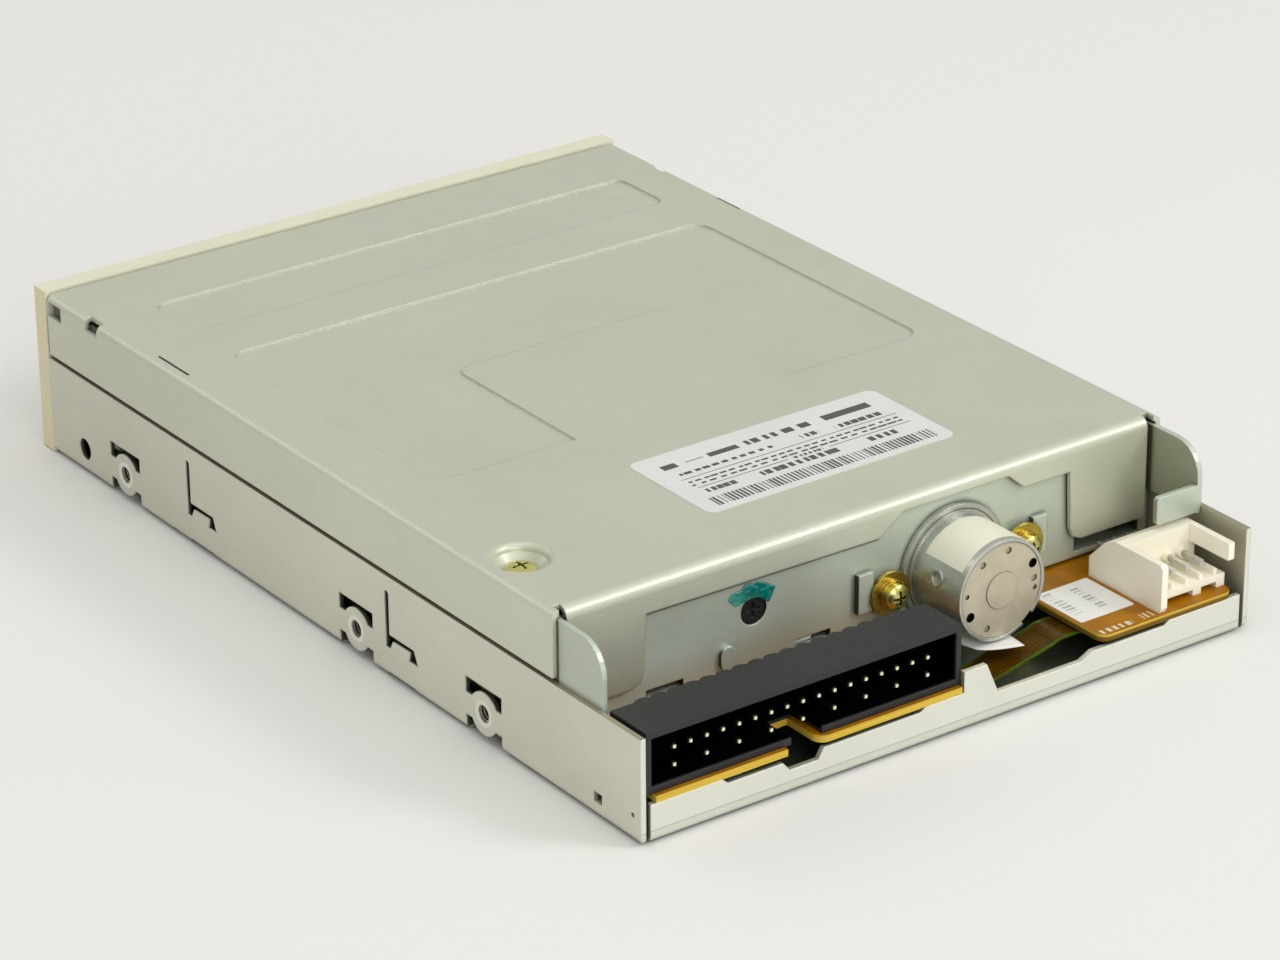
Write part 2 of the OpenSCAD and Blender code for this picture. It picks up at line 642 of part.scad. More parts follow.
module indicator_lamp() color([0.55, 0.75, 0.45]) {
    bar_y([lamp_x, at(lamp_face + 1.5), lamp_z], 1.5, 3);
    translate([lamp_x, at(lamp_face + 1.5), lamp_z]) sphere(1.5);
    for (s = [-1, 1]) block([lamp_x + s*0.8 - 0.25, lamp_face + 4.2, bush_low], [lamp_x + s*0.8 + 0.25, lamp_face + 4.7, lamp_z]);
}

// Loading gear

// Slider wall round one holder pin, with its sloping cam slot
module slider_ear(d) difference() {
    block([slider_x, d - 5, bay_floor - lift + 0.6], [slider_out, d - 5 + ear_len, slider_top]);
    along_x(slider_x - 1, slider_t + 2)
        capsule([at(d), pin_z], [at(d) + slide_travel, pin_z - lift], pin_r + 0.15);
}

module eject_slider() color(bright) {
    difference() {
        block([-slider_out, slider_front, slider_z], [slider_out, slider_back, slider_top]);
        block([-15, track_at - track_travel - 10, slider_z - 1], [15, slider_back + 1, slider_top + 1]);
        along_z(slider_z - 1, slider_t + 2) polygon(round_rect([14.4 - holder_hw, at(slider_front + 9)], [holder_hw - 14.4, at(spindle_at + 4)], 4));
    }
    both_sides() {
        for (d = pin_places) slider_ear(d);
        for (d = tab_places) block([slider_out - 0.2, d, slider_z], [in_x - 0.15, d + tab_len, slider_top]);
        bar_z([slider_spring_x, at(slider_hook_at), slider_z + 0.2], 0.7, slider_t + 2);
    }
    // Arm down to the eject button
    block([slider_x, arm_front, strip_z], [slider_out, pin_places[0] - 5 + ear_len, bay_floor - lift + 0.8]);
    difference() {
        block([button_x - button_w/2 + 0.5, arm_front, strip_z], [slider_out, arm_front + slider_t, button_z + 2.4]);
        for (s = [-1, 1]) bar_y([button_x + s*(button_w/2 - 2.5), at(arm_front) - 1, button_z], 1 + seat_gap, 4);
    }
}

slider_spring_turns = 20;
slider_spring_pitch = (slider_hook_at - chassis_hook_at - 1.8)/slider_spring_turns;

module slider_springs() color(bright) both_sides()
    translate([slider_spring_x, at(chassis_hook_at) + 0.4, slider_spring_z]) rotate([-90, 0, 0])
        coil(slider_spring_r, slider_spring_pitch, slider_spring_turns, wire_d);

tongue_x = slab_hw - 3.6;

module disk_holder() color(bright) {
    difference() {
        union() {
            block([-holder_hw, holder_front, bay_floor - holder_t], [holder_hw, holder_back, holder_top]);
            block([tongue_x, holder_back - 1, bay_top], [tongue_x + 5.5, arm_at - 13, holder_top]);
        }
        block([-holder_hw + holder_t, holder_front - 1, bay_floor], [holder_hw - holder_t, holder_back + 1, bay_top]);
        block([-holder_hw + bay_lip, holder_front - 1, bay_floor - 2], [holder_hw - bay_lip, holder_back + 1, bay_floor + 1]);
        // Ways for the head arm and the screw's bracket, and window over the spindle
        block([-11, track_at - track_travel - 8, bay_top - 1], [tongue_x - 0.3, holder_back + 1, holder_top + 1]);
        block([can_x - 3.4, screw_front - 1.3, bay_top - 1], [-10, holder_back + 1, holder_top + 1]);
        along_z(bay_top - 1, 3) polygon(round_rect([16.4 - holder_hw, at(14)], [holder_hw - 16.4, at(spindle_at + 12)], 4));
        // Curved way for the lever pin
        along_z(bay_top - 1, 3) intersection() {
            translate([lever_at.x, at(lever_at.y)]) difference() {
                circle(lever_len + lever_pin_r + 0.6);
                circle(lever_len - lever_pin_r - 0.6);
            }
            translate([lever_at.x, at(lever_at.y)]) polygon(concat([[0, 0]],
                arc([0, 0], 2*lever_len, lever_rest - 5, lever_rest + lever_swing + 5)));
        }
        bar_z([lever_at.x, at(lever_at.y), bay_top - 1], 1.2 + seat_gap, 3);
    }
    // Stops for the disk and the post of the lever spring
    both_sides() block([20, holder_back - 0.8, bay_floor + 0.6], [28, holder_back, bay_top + 0.2]);
    bar_z([lever_post.x, at(lever_post.y), bay_top + 0.2], 0.6, lever_spring_z + 0.5 - bay_top);
}

module holder_pins() color(bright) both_sides()
    for (d = pin_places) bar_x([holder_hw, at(d), pin_z], pin_r, in_x - 0.2 - holder_hw);

module shutter_lever() color(charcoal) difference() {
    union() {
        along_z(lever_z, lever_t) translate([lever_at.x, at(lever_at.y)]) {
            circle(3);
            capsule([0, 0], lever_len*[cos(lever_rest), sin(lever_rest)], 2);
        }
        translate([lever_at.x, at(lever_at.y), 0]) rotate(lever_rest)
            bar_z([lever_len, 0, bay_floor + 0.3], lever_pin_r, lever_z - bay_floor);
        bar_z([lever_hook.x, at(lever_hook.y), lever_z + 0.2], 0.5, lever_spring_z - lever_z + 0.3);
    }
    bar_z([lever_at.x, at(lever_at.y), lever_z - 1], 1.2 + run_gap, 3);
}

module lever_pivot() color(brass) {
    bar_z([lever_at.x, at(lever_at.y), bay_top + 0.05], 1.2, lever_z + lever_t + 0.1 - bay_top - 0.05);
    bar_z([lever_at.x, at(lever_at.y), lever_z + lever_t + 0.1], 2.2, 0.7);
}

lever_spring_l = norm(lever_hook - lever_post);
lever_spring_turns = 16;
lever_spring_pitch = (lever_spring_l - 2)/lever_spring_turns;

module lever_spring() color(bright)
    translate([lever_post.x, at(lever_post.y), lever_spring_z])
        rotate([0, 0, atan2(lever_hook.y - lever_post.y, lever_hook.x - lever_post.x)]) rotate([0, 90, 0])
            translate([0, 0, 1]) coil(lever_spring_r, lever_spring_pitch, lever_spring_turns, lever_wire_d);

// Spindle motor

module motor_board() color([0.2, 0.36, 0.26]) difference() {
    along_z(sheet_t, bush_low - sheet_t) translate([0, at(spindle_at)]) {
        circle(rotor_r + 7);
        translate([lamp_x - 7, at(3) - at(spindle_at)]) square([30, spindle_at - 3]);
        translate([0, -2]) square([rotor_r + 14, 22]);
    }
    bar_z([0, at(spindle_at), 0], bush_r - 0.5, 4);
}

module spindle_bush() color(brass) difference() {
    union() {
        bar_z([0, at(spindle_at), sheet_t], bush_r - 0.5 - seat_gap, 2);
        bar_z([0, at(spindle_at), bush_low], bush_r + 1.4, 1);
        bar_z([0, at(spindle_at), bush_low], bush_r, rotor_top - rotor_wall - 0.2 - bush_low);
    }
    bar_z([0, at(spindle_at), 0], shaft_r + run_gap, rotor_top);
}

core_low = bush_low + 1;
core_t = 2;

module stator_core() color(ferrite) difference() {
    union() {
        bar_z([0, at(spindle_at), core_low], bush_r + 2.6, core_t);
        for (i = [0:poles - 1]) translate([0, at(spindle_at), core_low]) rotate(360/poles*i)
            translate([bush_r + 1, -1.4, 0]) cube([pole_r - bush_r - 1, 2.8, core_t]);
    }
    bar_z([0, at(spindle_at), core_low - 1], bush_r + seat_gap, core_t + 2);
}

module stator_coils() color(copper) for (i = [0:poles - 1])
    translate([0, at(spindle_at), core_low]) rotate(360/poles*i) difference() {
        translate([bush_r + 2.9, -2.3, -0.7]) cube([pole_r - bush_r - 3.9, 4.6, core_t + 1.4]);
        translate([bush_r + 2, -1.4, 0]) cube([pole_r, 2.8, core_t]);
    }

module rotor_cup() color(bright) difference() {
    bar_z([0, at(spindle_at), rotor_low], rotor_r, rotor_top - rotor_low);
    bar_z([0, at(spindle_at), rotor_low - 1], magnet_r, rotor_top - rotor_wall - rotor_low + 1);
    bar_z([0, at(spindle_at), rotor_low], shaft_r + seat_gap, rotor_top);
}

module rotor_magnet() color(ferrite) difference() {
    bar_z([0, at(spindle_at), rotor_low + 0.2], magnet_r - seat_gap, rotor_top - rotor_wall - rotor_low - 0.2);
    bar_z([0, at(spindle_at), rotor_low - 1], magnet_r - magnet_t, rotor_top);
}

module spindle_shaft() color(bright) bar_z([0, at(spindle_at), bush_low - 0.6], shaft_r, shaft_top - bush_low + 0.6);

module hub_plate() color(bright) difference() {
    union() {
        bar_z([0, at(spindle_at), rotor_top], hub_d/2 - 2, 1);
        bar_z([0, at(spindle_at), rotor_top + 1], hub_d/2, hub_top - rotor_top - 1);
    }
    bar_z([0, at(spindle_at), rotor_top - 1], shaft_r + seat_gap, 6);
    bar_z([0, at(spindle_at) - drive_pin_at, rotor_top - 1], drive_pin_r + run_gap, 6);
}

module drive_pin() color(nylon) bar_z([0, at(spindle_at) - drive_pin_at, rotor_top + 1.1], drive_pin_r, hub_top - rotor_top - 0.1);

// Stepper motor and lead screw

// Angles of the two vent holes
vent_deg = [155, 334];

module punch_mark() translate([can_x, at(rear_wall + can_l - 5.1), can_z]) rotate([0, -15, 0]) children();

module stepper_can() color(bright) difference() {
    union() {
        bar_y([can_x, at(rear_wall), can_z], flange_r, flange_t);
        bar_y([can_x, at(rear_wall) - sheet_t, can_z], can_r - 2.2 - seat_gap, sheet_t + 1);
        bar_y([can_x, at(rear_wall), can_z], can_r, can_l);
        punch_mark() bar_x([can_r - 1, 0, 0], 1.2, 1.15);
    }
    punch_mark() bar_x([can_r - 0.2, 0, 0], 0.75, 1);
    bar_y([can_x, at(rear_wall) - sheet_t - 1, can_z], screw_shaft_r + run_gap, 4);
    bar_y([can_x, at(rear_wall + flange_t), can_z], can_r - 2.2, can_l);
    bar_y([can_x, at(rear_wall + can_l - 0.6), can_z], can_r - 0.5, 2);
    for (a = vent_deg) cap_mark(a, 5.85, 0.75, 4);
    // Notch in the rim
    translate([can_x, at(rear_wall + can_l), can_z]) rotate([0, 130, 0]) translate([can_r - 1, -0.7, -1]) cube([2, 1, 2]);
}

// Round mark on the end cap, at an angle and distance from the motor axis
module cap_mark(a, d, r, deep) bar_y([can_x + d*cos(a), at(rear_wall + can_l - 0.1 - deep), can_z + d*sin(a)], r, 2);

module stepper_cap() color([0.66, 0.6, 0.5]) difference() {
    union() {
        bar_y([can_x, at(rear_wall + can_l - 0.6), can_z], can_r - 0.5 - seat_gap, 0.5);
        bar_y([can_x, at(rear_wall + can_l - 0.6), can_z], 2.6, 0.65);
    }
    bar_y([can_x, at(rear_wall + can_l - 0.7), can_z], screw_shaft_r + run_gap, 0.5);
    for (a = vent_deg) cap_mark(a, 5.85, 0.7, 1.5);
    for (a = [54, 101, 178, 295]) cap_mark(a, 5.6, 0.5, 0.25);
    for (a = [6, 192]) cap_mark(a, 5.9, 0.35, 0.25);
}

rotor_back = rear_wall + can_l - 1.2;

module stepper_rotor() color(ferrite) difference() {
    bar_y([can_x, at(rear_wall + flange_t + 0.5), can_z], can_r - 2.2 - rotor_clear, rotor_back - rear_wall - flange_t - 0.5);
    bar_y([can_x, at(rear_wall), can_z], screw_shaft_r + seat_gap, can_l);
}

// Cross-section of the thread, with its groove centred on the X axis
thread_section = concat(arc([0, 0], screw_root, -groove_deg/2, groove_deg/2, 6),
    arc([0, 0], screw_r, groove_deg/2 + 4, 356 - groove_deg/2, 9));
thread_start = 90 - (needle_at - thread_at)*360/screw_lead;
thread_steps = ceil(12*thread_l/screw_lead);

// Rings of the screw: plain shaft, thread, plain shaft
function screw_turn(z) = thread_start + 360*(z - thread_at)/screw_lead;
function shaft_ring(z) = [for (p = thread_section) let (a = atan2(p.y, p.x) + screw_turn(z))
    [screw_shaft_r*cos(a), screw_shaft_r*sin(a), z]];
function thread_ring(z) = [for (p = thread_section) let (a = atan2(p.y, p.x) + screw_turn(z))
    [norm(p)*cos(a), norm(p)*sin(a), z]];
thread_z = [for (i = [0:thread_steps]) thread_at + thread_l*i/thread_steps];
shaft_end = thread_at + thread_l;

module lead_screw() color(bright) translate([can_x, at(0), can_z]) rotate([-90, 0, 0]) loft(concat(
    [[for (p = shaft_ring(thread_at)) [p.x, p.y, screw_front - 0.3]], shaft_ring(thread_at)],
    [for (z = thread_z) thread_ring(z)],
    [shaft_ring(shaft_end), [for (p = shaft_ring(shaft_end)) [p.x, p.y, rear_wall + can_l - 0.35]]]));

module screw_bearing() color(nylon) difference() {
    union() {
        bar_y([can_x, at(screw_front) - 0.5, can_z], screw_shaft_r + 0.8, sheet_t + 0.5);
        bar_y([can_x, at(screw_front + sheet_t), can_z], screw_shaft_r + 1.3, 0.9);
    }
    bar_y([can_x, at(screw_front) - 1, can_z], screw_shaft_r + run_gap, 4);
}

// Head carriage

module guide_rods() color(bright) for (x = [-rod_x, rod_x])
    bar_y([x, at(rod_front), rod_z], rod_r, rod_stop - rod_front);

module carriage() color(charcoal) difference() {
    union() {
        block([-5.5, track_at - 4, slab_top - 1.6], [5.5, block_at, slab_top]);
        block([-slab_hw, slab_front, rod_z - rod_r - 0.4], [slab_hw, carriage_back, slab_top]);
        block([-7.5, block_at, slab_top - 0.2], [7.5, carriage_back, arm_z - 2.2]);
        both_sides() along_x(5.4, 2.1) {
            translate([at(block_at), arm_z - 2.4]) square([5, 2.4]);
            translate([at(arm_at), arm_z]) circle(2);
        }
        // Wings for the lead screw needle and the head cable
        block([can_x - 2.2, needle_at - 2, deck_top + move_gap], [-slab_hw + 0.2, needle_at + 2, can_z - screw_r - 0.7]);
        block([slab_hw - 0.2, needle_at - 2, deck_top + 1.6], [slab_hw + 8, needle_at + 1.5, deck_top + 2.4]);
    }
    for (x = [-rod_x, rod_x]) bar_y([x, at(slab_front) - 1, rod_z], rod_r + run_gap, 60);
    bar_x([-10, at(arm_at), arm_z], 0.8 + seat_gap, 20);
    bar_z([can_x, at(needle_at), can_z - screw_r - 1.9], needle_r + seat_gap, 3);
}

module screw_needle() color(bright)
    bar_z([can_x, at(needle_at), can_z - screw_r - 1.9], needle_r, 1.9 + screw_r - screw_root - 0.15);

module lower_head() color(ferrite) {
    block([-3, track_at - 3, slab_top], [3, track_at + 3, media_z - 0.3]);
    for (x = [-2.4, 1]) block([x, track_at - 2.6, media_z - 0.4], [x + 1.4, track_at + 2.6, media_z]);
}

// Parts on the arm are drawn lowered onto the disk and swung up to their rest place
module raised() translate([0, at(arm_at), arm_z]) rotate([-arm_deg, 0, 0]) translate([0, -at(arm_at), -arm_z]) children();

arm_low = media_z + disk_t/2 + 0.75;

module head_arm() color(charcoal) raised() difference() {
    union() {
        along_z(arm_low, arm_z + 0.4 - arm_low) polygon([[-4.5, at(track_at - 4)], [4.5, at(track_at - 4)], [5.2, at(track_at + 8)],
            [5.2, at(block_at - 0.6)], [-5.2, at(block_at - 0.6)], [-5.2, at(track_at + 8)]]);
        block([-5.1, block_at - 1, arm_z - 1.2], [5.1, arm_at, arm_z + 1.2]);
        bar_x([-5.1, at(arm_at), arm_z], 1.7, 10.2);
        // Finger that rides on the holder's tongue
        block([5, arm_at - 16.4, holder_top - lift + 0.3], [tongue_x + 4.8, arm_at - 13.6, holder_top - lift + 1.6]);
    }
    bar_x([-6, at(arm_at), arm_z], 0.8 + run_gap, 12);
}

module arm_pivot() color(bright) bar_x([-7.5, at(arm_at), arm_z], 0.8, 15);

module upper_head() color(ferrite) raised() {
    block([-3, track_at - 3, media_z + 0.35], [3, track_at + 3, arm_low]);
    for (x = [-2.4, 1]) block([x, track_at - 2.6, media_z + 0.05], [x + 1.4, track_at + 2.6, media_z + 0.45]);
}

cable_t = 0.3;
cable_r = 1.35;
cable_z = deck_top + cable_r + cable_t/2;
cable_front = needle_at - 22;

module head_cable() color(amber) along_x(slab_hw + 1.4, 6) {
    translate([at(cable_front), deck_top]) square([rod_stop - 4 - cable_front, cable_t]);
    translate([at(cable_front), deck_top + 2*cable_r - 0.3]) square([needle_at + 1 - cable_front, cable_t]);
    translate([at(cable_front), deck_top + cable_r]) difference() {
        circle(cable_r);
        circle(cable_r - cable_t);
        translate([0, -5]) square(10);
    }
}

// Sensors

module track_sensor() color(charcoal) difference() {
    block([slab_hw + 9.2, carriage_back - 3.6, deck_top], [slab_hw + 14, carriage_back + 0.8, deck_top + 3.6]);
    block([slab_hw + 9, carriage_back - 4, deck_top + 1.2], [slab_hw + 12.4, carriage_back + 2, deck_top + 2.8]);
}

module switch_block(x0, x1, pins) color(charcoal) difference() {
    block([x0, switch_at - 2.5, deck_top], [x1, switch_at + 5, switch_top]);
    for (x = pins) bar_z([x, at(switch_at), deck_top - 1], plunger_r + run_gap, 6);
}

module plunger(x) color(nylon)
    bar_z([x, at(switch_at), deck_top + plunger_travel + 0.1], plunger_r, plunger_top - deck_top - plunger_travel - 0.1);

switch_x = holder_hw - bay_lip - 3.3;

module switch_block_left() switch_block(-switch_x - 2, -switch_x + 6.4, [-switch_x, -switch_x + 4]);
module switch_block_right() switch_block(switch_x - 4.4, switch_x + 2, [switch_x]);
module protect_plunger() plunger(-switch_x);
module disk_plunger() plunger(-switch_x + 4);
module density_plunger() plunger(switch_x);

// Boards and connectors

key_x = data_x + key_shift;
board_r = 1.6;

module main_board() color(phenolic) difference() {
    along_z(board_z, board_t) polygon(concat([[hw - 2.4, at(disk_back - 10)], [hw - 2.4, at(body_d)],
        [tab_x + 0.3, at(body_d)], [tab_x + 0.3, at(body_d - 1)], [notch_x1, at(body_d - 1)],
        [notch_x1, at(rear_wall - 0.5)], [notch_x0, at(rear_wall - 0.5)]],
        arc([notch_x0 - board_r, at(body_d) - board_r], board_r, 0, 90),
        arc([2.6 - hw + board_r, at(body_d) - board_r], board_r, 90, 180), [[2.6 - hw, at(disk_back - 10)]]));
    along_z(board_z - 1, board_t + 2) polygon(concat(
        [[key_x + key_w/2, at(body_d) + 1], [key_x + key_w/2, at(body_d - 6.8)], [key_x - key_w/2, at(body_d - 6.8)]],
        arc([key_x - key_w/2 - board_r, at(body_d) - board_r], board_r, 0, 90), [[key_x - key_w/2 - board_r, at(body_d) + 1]]));
    both_sides() bar_z([post_x, at(post_at), board_z - 1], screw_tap_r + 0.2, board_t + 2);
    for (i = [0:data_cols - 1]) for (row = [0, 1])
        block([tail_x(i) - data_pin/2, tail_at(row) - data_pin/2, board_z - 1], [tail_x(i) + data_pin/2, tail_at(row) + data_pin/2, board_top + 1]);
}

module board_chips() color(charcoal) {
    block([data_x - 22, rear_wall - 23.5, board_z - 2.2], [data_x - 2, rear_wall - 9.5, board_z]);
    block([power_x + 7.4, rear_wall - 19.5, board_z - 2.2], [power_x + 23.4, rear_wall - 11.5, board_z]);
    block([data_x + 4, rear_wall - 11.5, board_z - 1.8], [data_x + 10, rear_wall - 1.5, board_z]);
}

function tail_x(i) = data_x + (i - (data_cols - 1)/2)*data_pitch;
function tail_at(row) = data_back - 1.3 - row*2.54;
function row_z(row) = board_top + data_h/2 - 1.27 + row*2.54 - 0.5;

// Bottom row has every second pin
module pin_places_do() for (row = [0, 1]) for (i = [0:(row == 0 ? 2 : 1):data_cols - 1]) {
    $row = row;
    $i = i;
    children();
}

// Radius of the half-round lobes that hold the pins at the back of the header
lobe_r = (pow(data_pitch/2, 2) + pow(lobe, 2))/(2*lobe);

module data_header() color(charcoal) difference() {
    union() {
        block([data_x - data_l/2, data_back + lobe, board_top], [data_x + data_l/2, data_face, board_top + data_h]);
        for (i = [0:data_cols - 1]) bar_z([tail_x(i), at(data_back) + lobe_r, board_top], lobe_r, data_h);
    }
    block([data_x - data_l/2 + data_end, data_back + 1.4, board_top + data_wall],
        [data_x + data_l/2 - data_end, data_face + 1, board_top + data_h - data_wall]);
    block([data_x - key_w/2, data_back + 2.2, board_top - 1], [data_x + key_w/2, data_face + 1, board_top + data_wall + 1]);
    pin_places_do() block([tail_x($i) - data_pin/2, data_back - 1, row_z($row) - data_pin/2],
        [tail_x($i) + data_pin/2, data_back + 3, row_z($row) + data_pin/2]);
}

module data_pins() color(gold) pin_places_do() {
    block([tail_x($i) - data_pin/2, tail_at($row) - data_pin/2, row_z($row) - data_pin/2],
        [tail_x($i) + data_pin/2, data_face - 1.1, row_z($row) + data_pin/2]);
    block([tail_x($i) - data_pin/3, data_face - 1.2, row_z($row) - data_pin/3],
        [tail_x($i) + data_pin/3, data_face - 0.7, row_z($row) + data_pin/3]);
    block([tail_x($i) - data_pin/2, tail_at($row) - data_pin/2, board_z - 0.8],
        [tail_x($i) + data_pin/2, tail_at($row) + data_pin/2, row_z($row)]);
}

power_right = power_x + power_w/2;
power_left = power_x - power_w/2;
power_shelf = board_top + 1.9;
power_top = board_top + 7.1;
power_pin_z = power_shelf + 1.6;
power_body = power_back + 6.9;
power_front = [[power_back + 5.2, power_top], [power_back + 3.1, power_top - 0.9], [power_back, board_top + 3], [power_back, board_top]];
power_cheek = concat(power_front, [[power_face - 0.4, board_top], [power_face, board_top + 0.8],
    [power_face, power_top - 0.5], [power_face - 0.5, power_top]]);

function power_pin_x(i) = power_x + (i - 1.5)*power_pitch;

module power_header() color(nylon) difference() {
    union() {
        along_x(power_left, power_w) translate([at(0), 0])
            polygon(concat(power_front, [[power_body, board_top], [power_body, power_top]]));
        along_x(power_right - 1.1, 1.1) translate([at(0), 0]) polygon(power_cheek);
        block([power_left, power_body - 0.5, power_top - 2.5], [power_left + 1.1, power_face, power_top]);
        // Shelf under the pins, with its feet, ribs and sockets
        block([power_left, power_body - 0.5, board_top + 0.9], [power_right - 1, power_face - 1.7, power_shelf]);
        for (x = [power_left, power_left + 4.2, power_right - 2.6])
            block([x, power_face - 3.1, board_top], [x + 1.5, power_face - 1.7, board_top + 1]);
        for (i = [0:4]) block([power_pin_x(i - 0.5) - 0.35, power_body - 0.5, power_shelf - 0.1],
            [power_pin_x(i - 0.5) + 0.35, power_face - 2.1, power_shelf + 0.8]);
        for (i = [0:3]) bar_y([power_pin_x(i), at(power_body) - 0.5, power_pin_z], 0.8, 1.3);
    }
    for (i = [0:3]) block([power_pin_x(i) - power_pin/2, power_back - 1, power_pin_z - power_pin/2],
        [power_pin_x(i) + power_pin/2, power_body + 3, power_pin_z + power_pin/2]);
}

module power_pins() color(bright) for (i = [0:3]) {
    x = power_pin_x(i);
    block([x - power_pin/2, power_back - 1.2, power_pin_z - power_pin/2], [x + power_pin/2, power_face - 3.4, power_pin_z + power_pin/2]);
    block([x - power_pin/2, power_back - 1.2, board_top], [x + power_pin/2, power_back - 1.2 + power_pin, power_pin_z]);
}

// Bent strip under the board, from its left part down to the bottom behind the lip
cable_path = concat([[notch_x0 - 5, board_z - 0.4], [notch_x0 + 2, board_z - 0.4]],
    arc([notch_x0 + 2, board_z - 4.4], 4, 84, 62, 4), arc([notch_x1 - 3, sheet_t + 4.6], 4, 242, 270, 4), [[notch_x1 + 6, sheet_t + 0.6]]);

cable_w = 5.8;

module motor_cable() color(amber) along_y(at(body_d - 11), cable_w)
    polygon(concat(cable_path, [for (i = [len(cable_path) - 1:-1:0]) cable_path[i] - [0, cable_t]]));

// Fasteners

module cross_recess(r, z) for (a = [0, 90]) rotate(a) translate([-r, -r/5, z]) cube([2*r, r/2.5, 4]);

// Domed screw head with a cross recess, standing on Z = 0, and its shank below
module cross_screw(head_r, head_h, shank_r, shank_l) {
    dome = 0.45*head_h;
    dome_r = (head_r*head_r + dome*dome)/(2*dome);
    difference() {
        union() {
            intersection() {
                cylinder(r = head_r, h = head_h);
                translate([0, 0, head_h - dome_r]) sphere(dome_r);
            }
            translate([0, 0, -shank_l]) cylinder(r = shank_r, h = shank_l + 0.1);
        }
        cross_recess(0.6*head_r, 0.35*head_h);
    }
}

module cover_screw() color(brass) translate([screw_at.x, at(screw_at.y), cover_top - dimple_d]) cross_screw(2.1, 0.95, 1.25, 3);

module motor_screws() color(brass) for (c = clamp_at)
    translate([c.x, at(rear_wall + flange_t + washer_t + spring_t), c.y]) rotate([-90, 0, 0])
        cross_screw(1.8, 1.5, 1.2, 4.5);

module motor_washers() color(brass) for (c = clamp_at) difference() {
    union() {
        bar_y([c.x, at(rear_wall + flange_t), c.y], washer_r, washer_t);
        bar_y([c.x, at(rear_wall + flange_t), c.y], spring_r, washer_t + spring_t);
    }
    bar_y([c.x, at(rear_wall), c.y], 1.2 + seat_gap, 4);
    // Gap of the spring washer
    translate([c.x, at(rear_wall + flange_t + washer_t), c.y]) rotate([0, -130, 0])
        translate([0, 0, -0.2]) cube([4, 2, 0.4]);
}

module chassis_screws() color(brass) both_sides()
    translate([post_x, at(post_at), deck_top]) cross_screw(2.6, 1.3, screw_tap_r, deck_top - sheet_t - 0.6);

module wall_screw() color(charcoal) translate([wall_screw_x, at(rear_wall - sheet_t), can_z + 2.6]) rotate([-90, 0, 0]) difference() {
    cylinder(r = 2, h = sheet_t - 0.2);
    cross_recess(1.1, 0.25);
}

echo(slider_spring_gap = coil_gap(slider_spring_r, slider_spring_pitch, slider_spring_turns, wire_d));
echo(lever_spring_gap = coil_gap(lever_spring_r, lever_spring_pitch, lever_spring_turns, lever_wire_d));
echo(door_spring_gap = coil_gap(0.75, 0.8, 6, 0.3));
echo(arm_deg = arm_deg);

base_frame();
chassis();
top_cover();
bezel();
slot_door();
door_spring();
eject_button();
lamp_lens();
indicator_lamp();
eject_slider();
slider_springs();
disk_holder();
holder_pins();
shutter_lever();
lever_pivot();
lever_spring();
motor_board();
spindle_bush();
stator_core();
stator_coils();
rotor_cup();
rotor_magnet();
spindle_shaft();
hub_plate();
drive_pin();
stepper_can();
stepper_cap();
stepper_rotor();
lead_screw();
screw_bearing();
guide_rods();
carriage();
screw_needle();
lower_head();
head_arm();
arm_pivot();
upper_head();
head_cable();
track_sensor();
switch_block_left();
switch_block_right();
protect_plunger();
disk_plunger();
density_plunger();
main_board();
board_chips();
data_header();
data_pins();
power_header();
power_pins();
motor_cable();
cover_screw();
motor_screws();
motor_washers();
chassis_screws();
wall_screw();
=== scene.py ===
"""Looks of a 3.5 inch floppy disk drive: finishes, labels, lacquer, screw threads and copies of the springs
and head cable.
"""

import json
import math
import random

import bmesh
import bpy
from mathutils import Matrix, Vector


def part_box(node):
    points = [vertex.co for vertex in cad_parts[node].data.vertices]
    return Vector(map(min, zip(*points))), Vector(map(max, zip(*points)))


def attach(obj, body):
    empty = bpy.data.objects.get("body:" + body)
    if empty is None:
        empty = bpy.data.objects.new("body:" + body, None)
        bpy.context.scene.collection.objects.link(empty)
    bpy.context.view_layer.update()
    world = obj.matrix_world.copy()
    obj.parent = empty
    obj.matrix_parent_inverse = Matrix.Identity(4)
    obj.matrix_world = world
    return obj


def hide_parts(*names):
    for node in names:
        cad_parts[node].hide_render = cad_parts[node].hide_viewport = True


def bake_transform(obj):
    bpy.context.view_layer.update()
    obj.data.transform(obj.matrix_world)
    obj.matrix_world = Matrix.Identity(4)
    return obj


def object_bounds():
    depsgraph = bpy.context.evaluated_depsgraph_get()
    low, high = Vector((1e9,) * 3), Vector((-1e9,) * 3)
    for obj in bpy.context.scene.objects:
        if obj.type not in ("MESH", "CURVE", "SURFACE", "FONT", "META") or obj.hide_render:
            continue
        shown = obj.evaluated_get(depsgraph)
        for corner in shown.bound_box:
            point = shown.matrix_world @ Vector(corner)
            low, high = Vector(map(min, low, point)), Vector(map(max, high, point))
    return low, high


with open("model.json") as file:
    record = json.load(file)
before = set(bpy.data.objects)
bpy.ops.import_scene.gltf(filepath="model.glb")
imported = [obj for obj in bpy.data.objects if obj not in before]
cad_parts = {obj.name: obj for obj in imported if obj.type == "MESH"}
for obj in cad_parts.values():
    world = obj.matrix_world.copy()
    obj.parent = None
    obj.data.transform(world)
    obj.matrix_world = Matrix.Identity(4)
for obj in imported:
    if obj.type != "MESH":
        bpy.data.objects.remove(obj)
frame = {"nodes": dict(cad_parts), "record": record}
cad_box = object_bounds()
nodes = frame["nodes"]
MM = 0.001

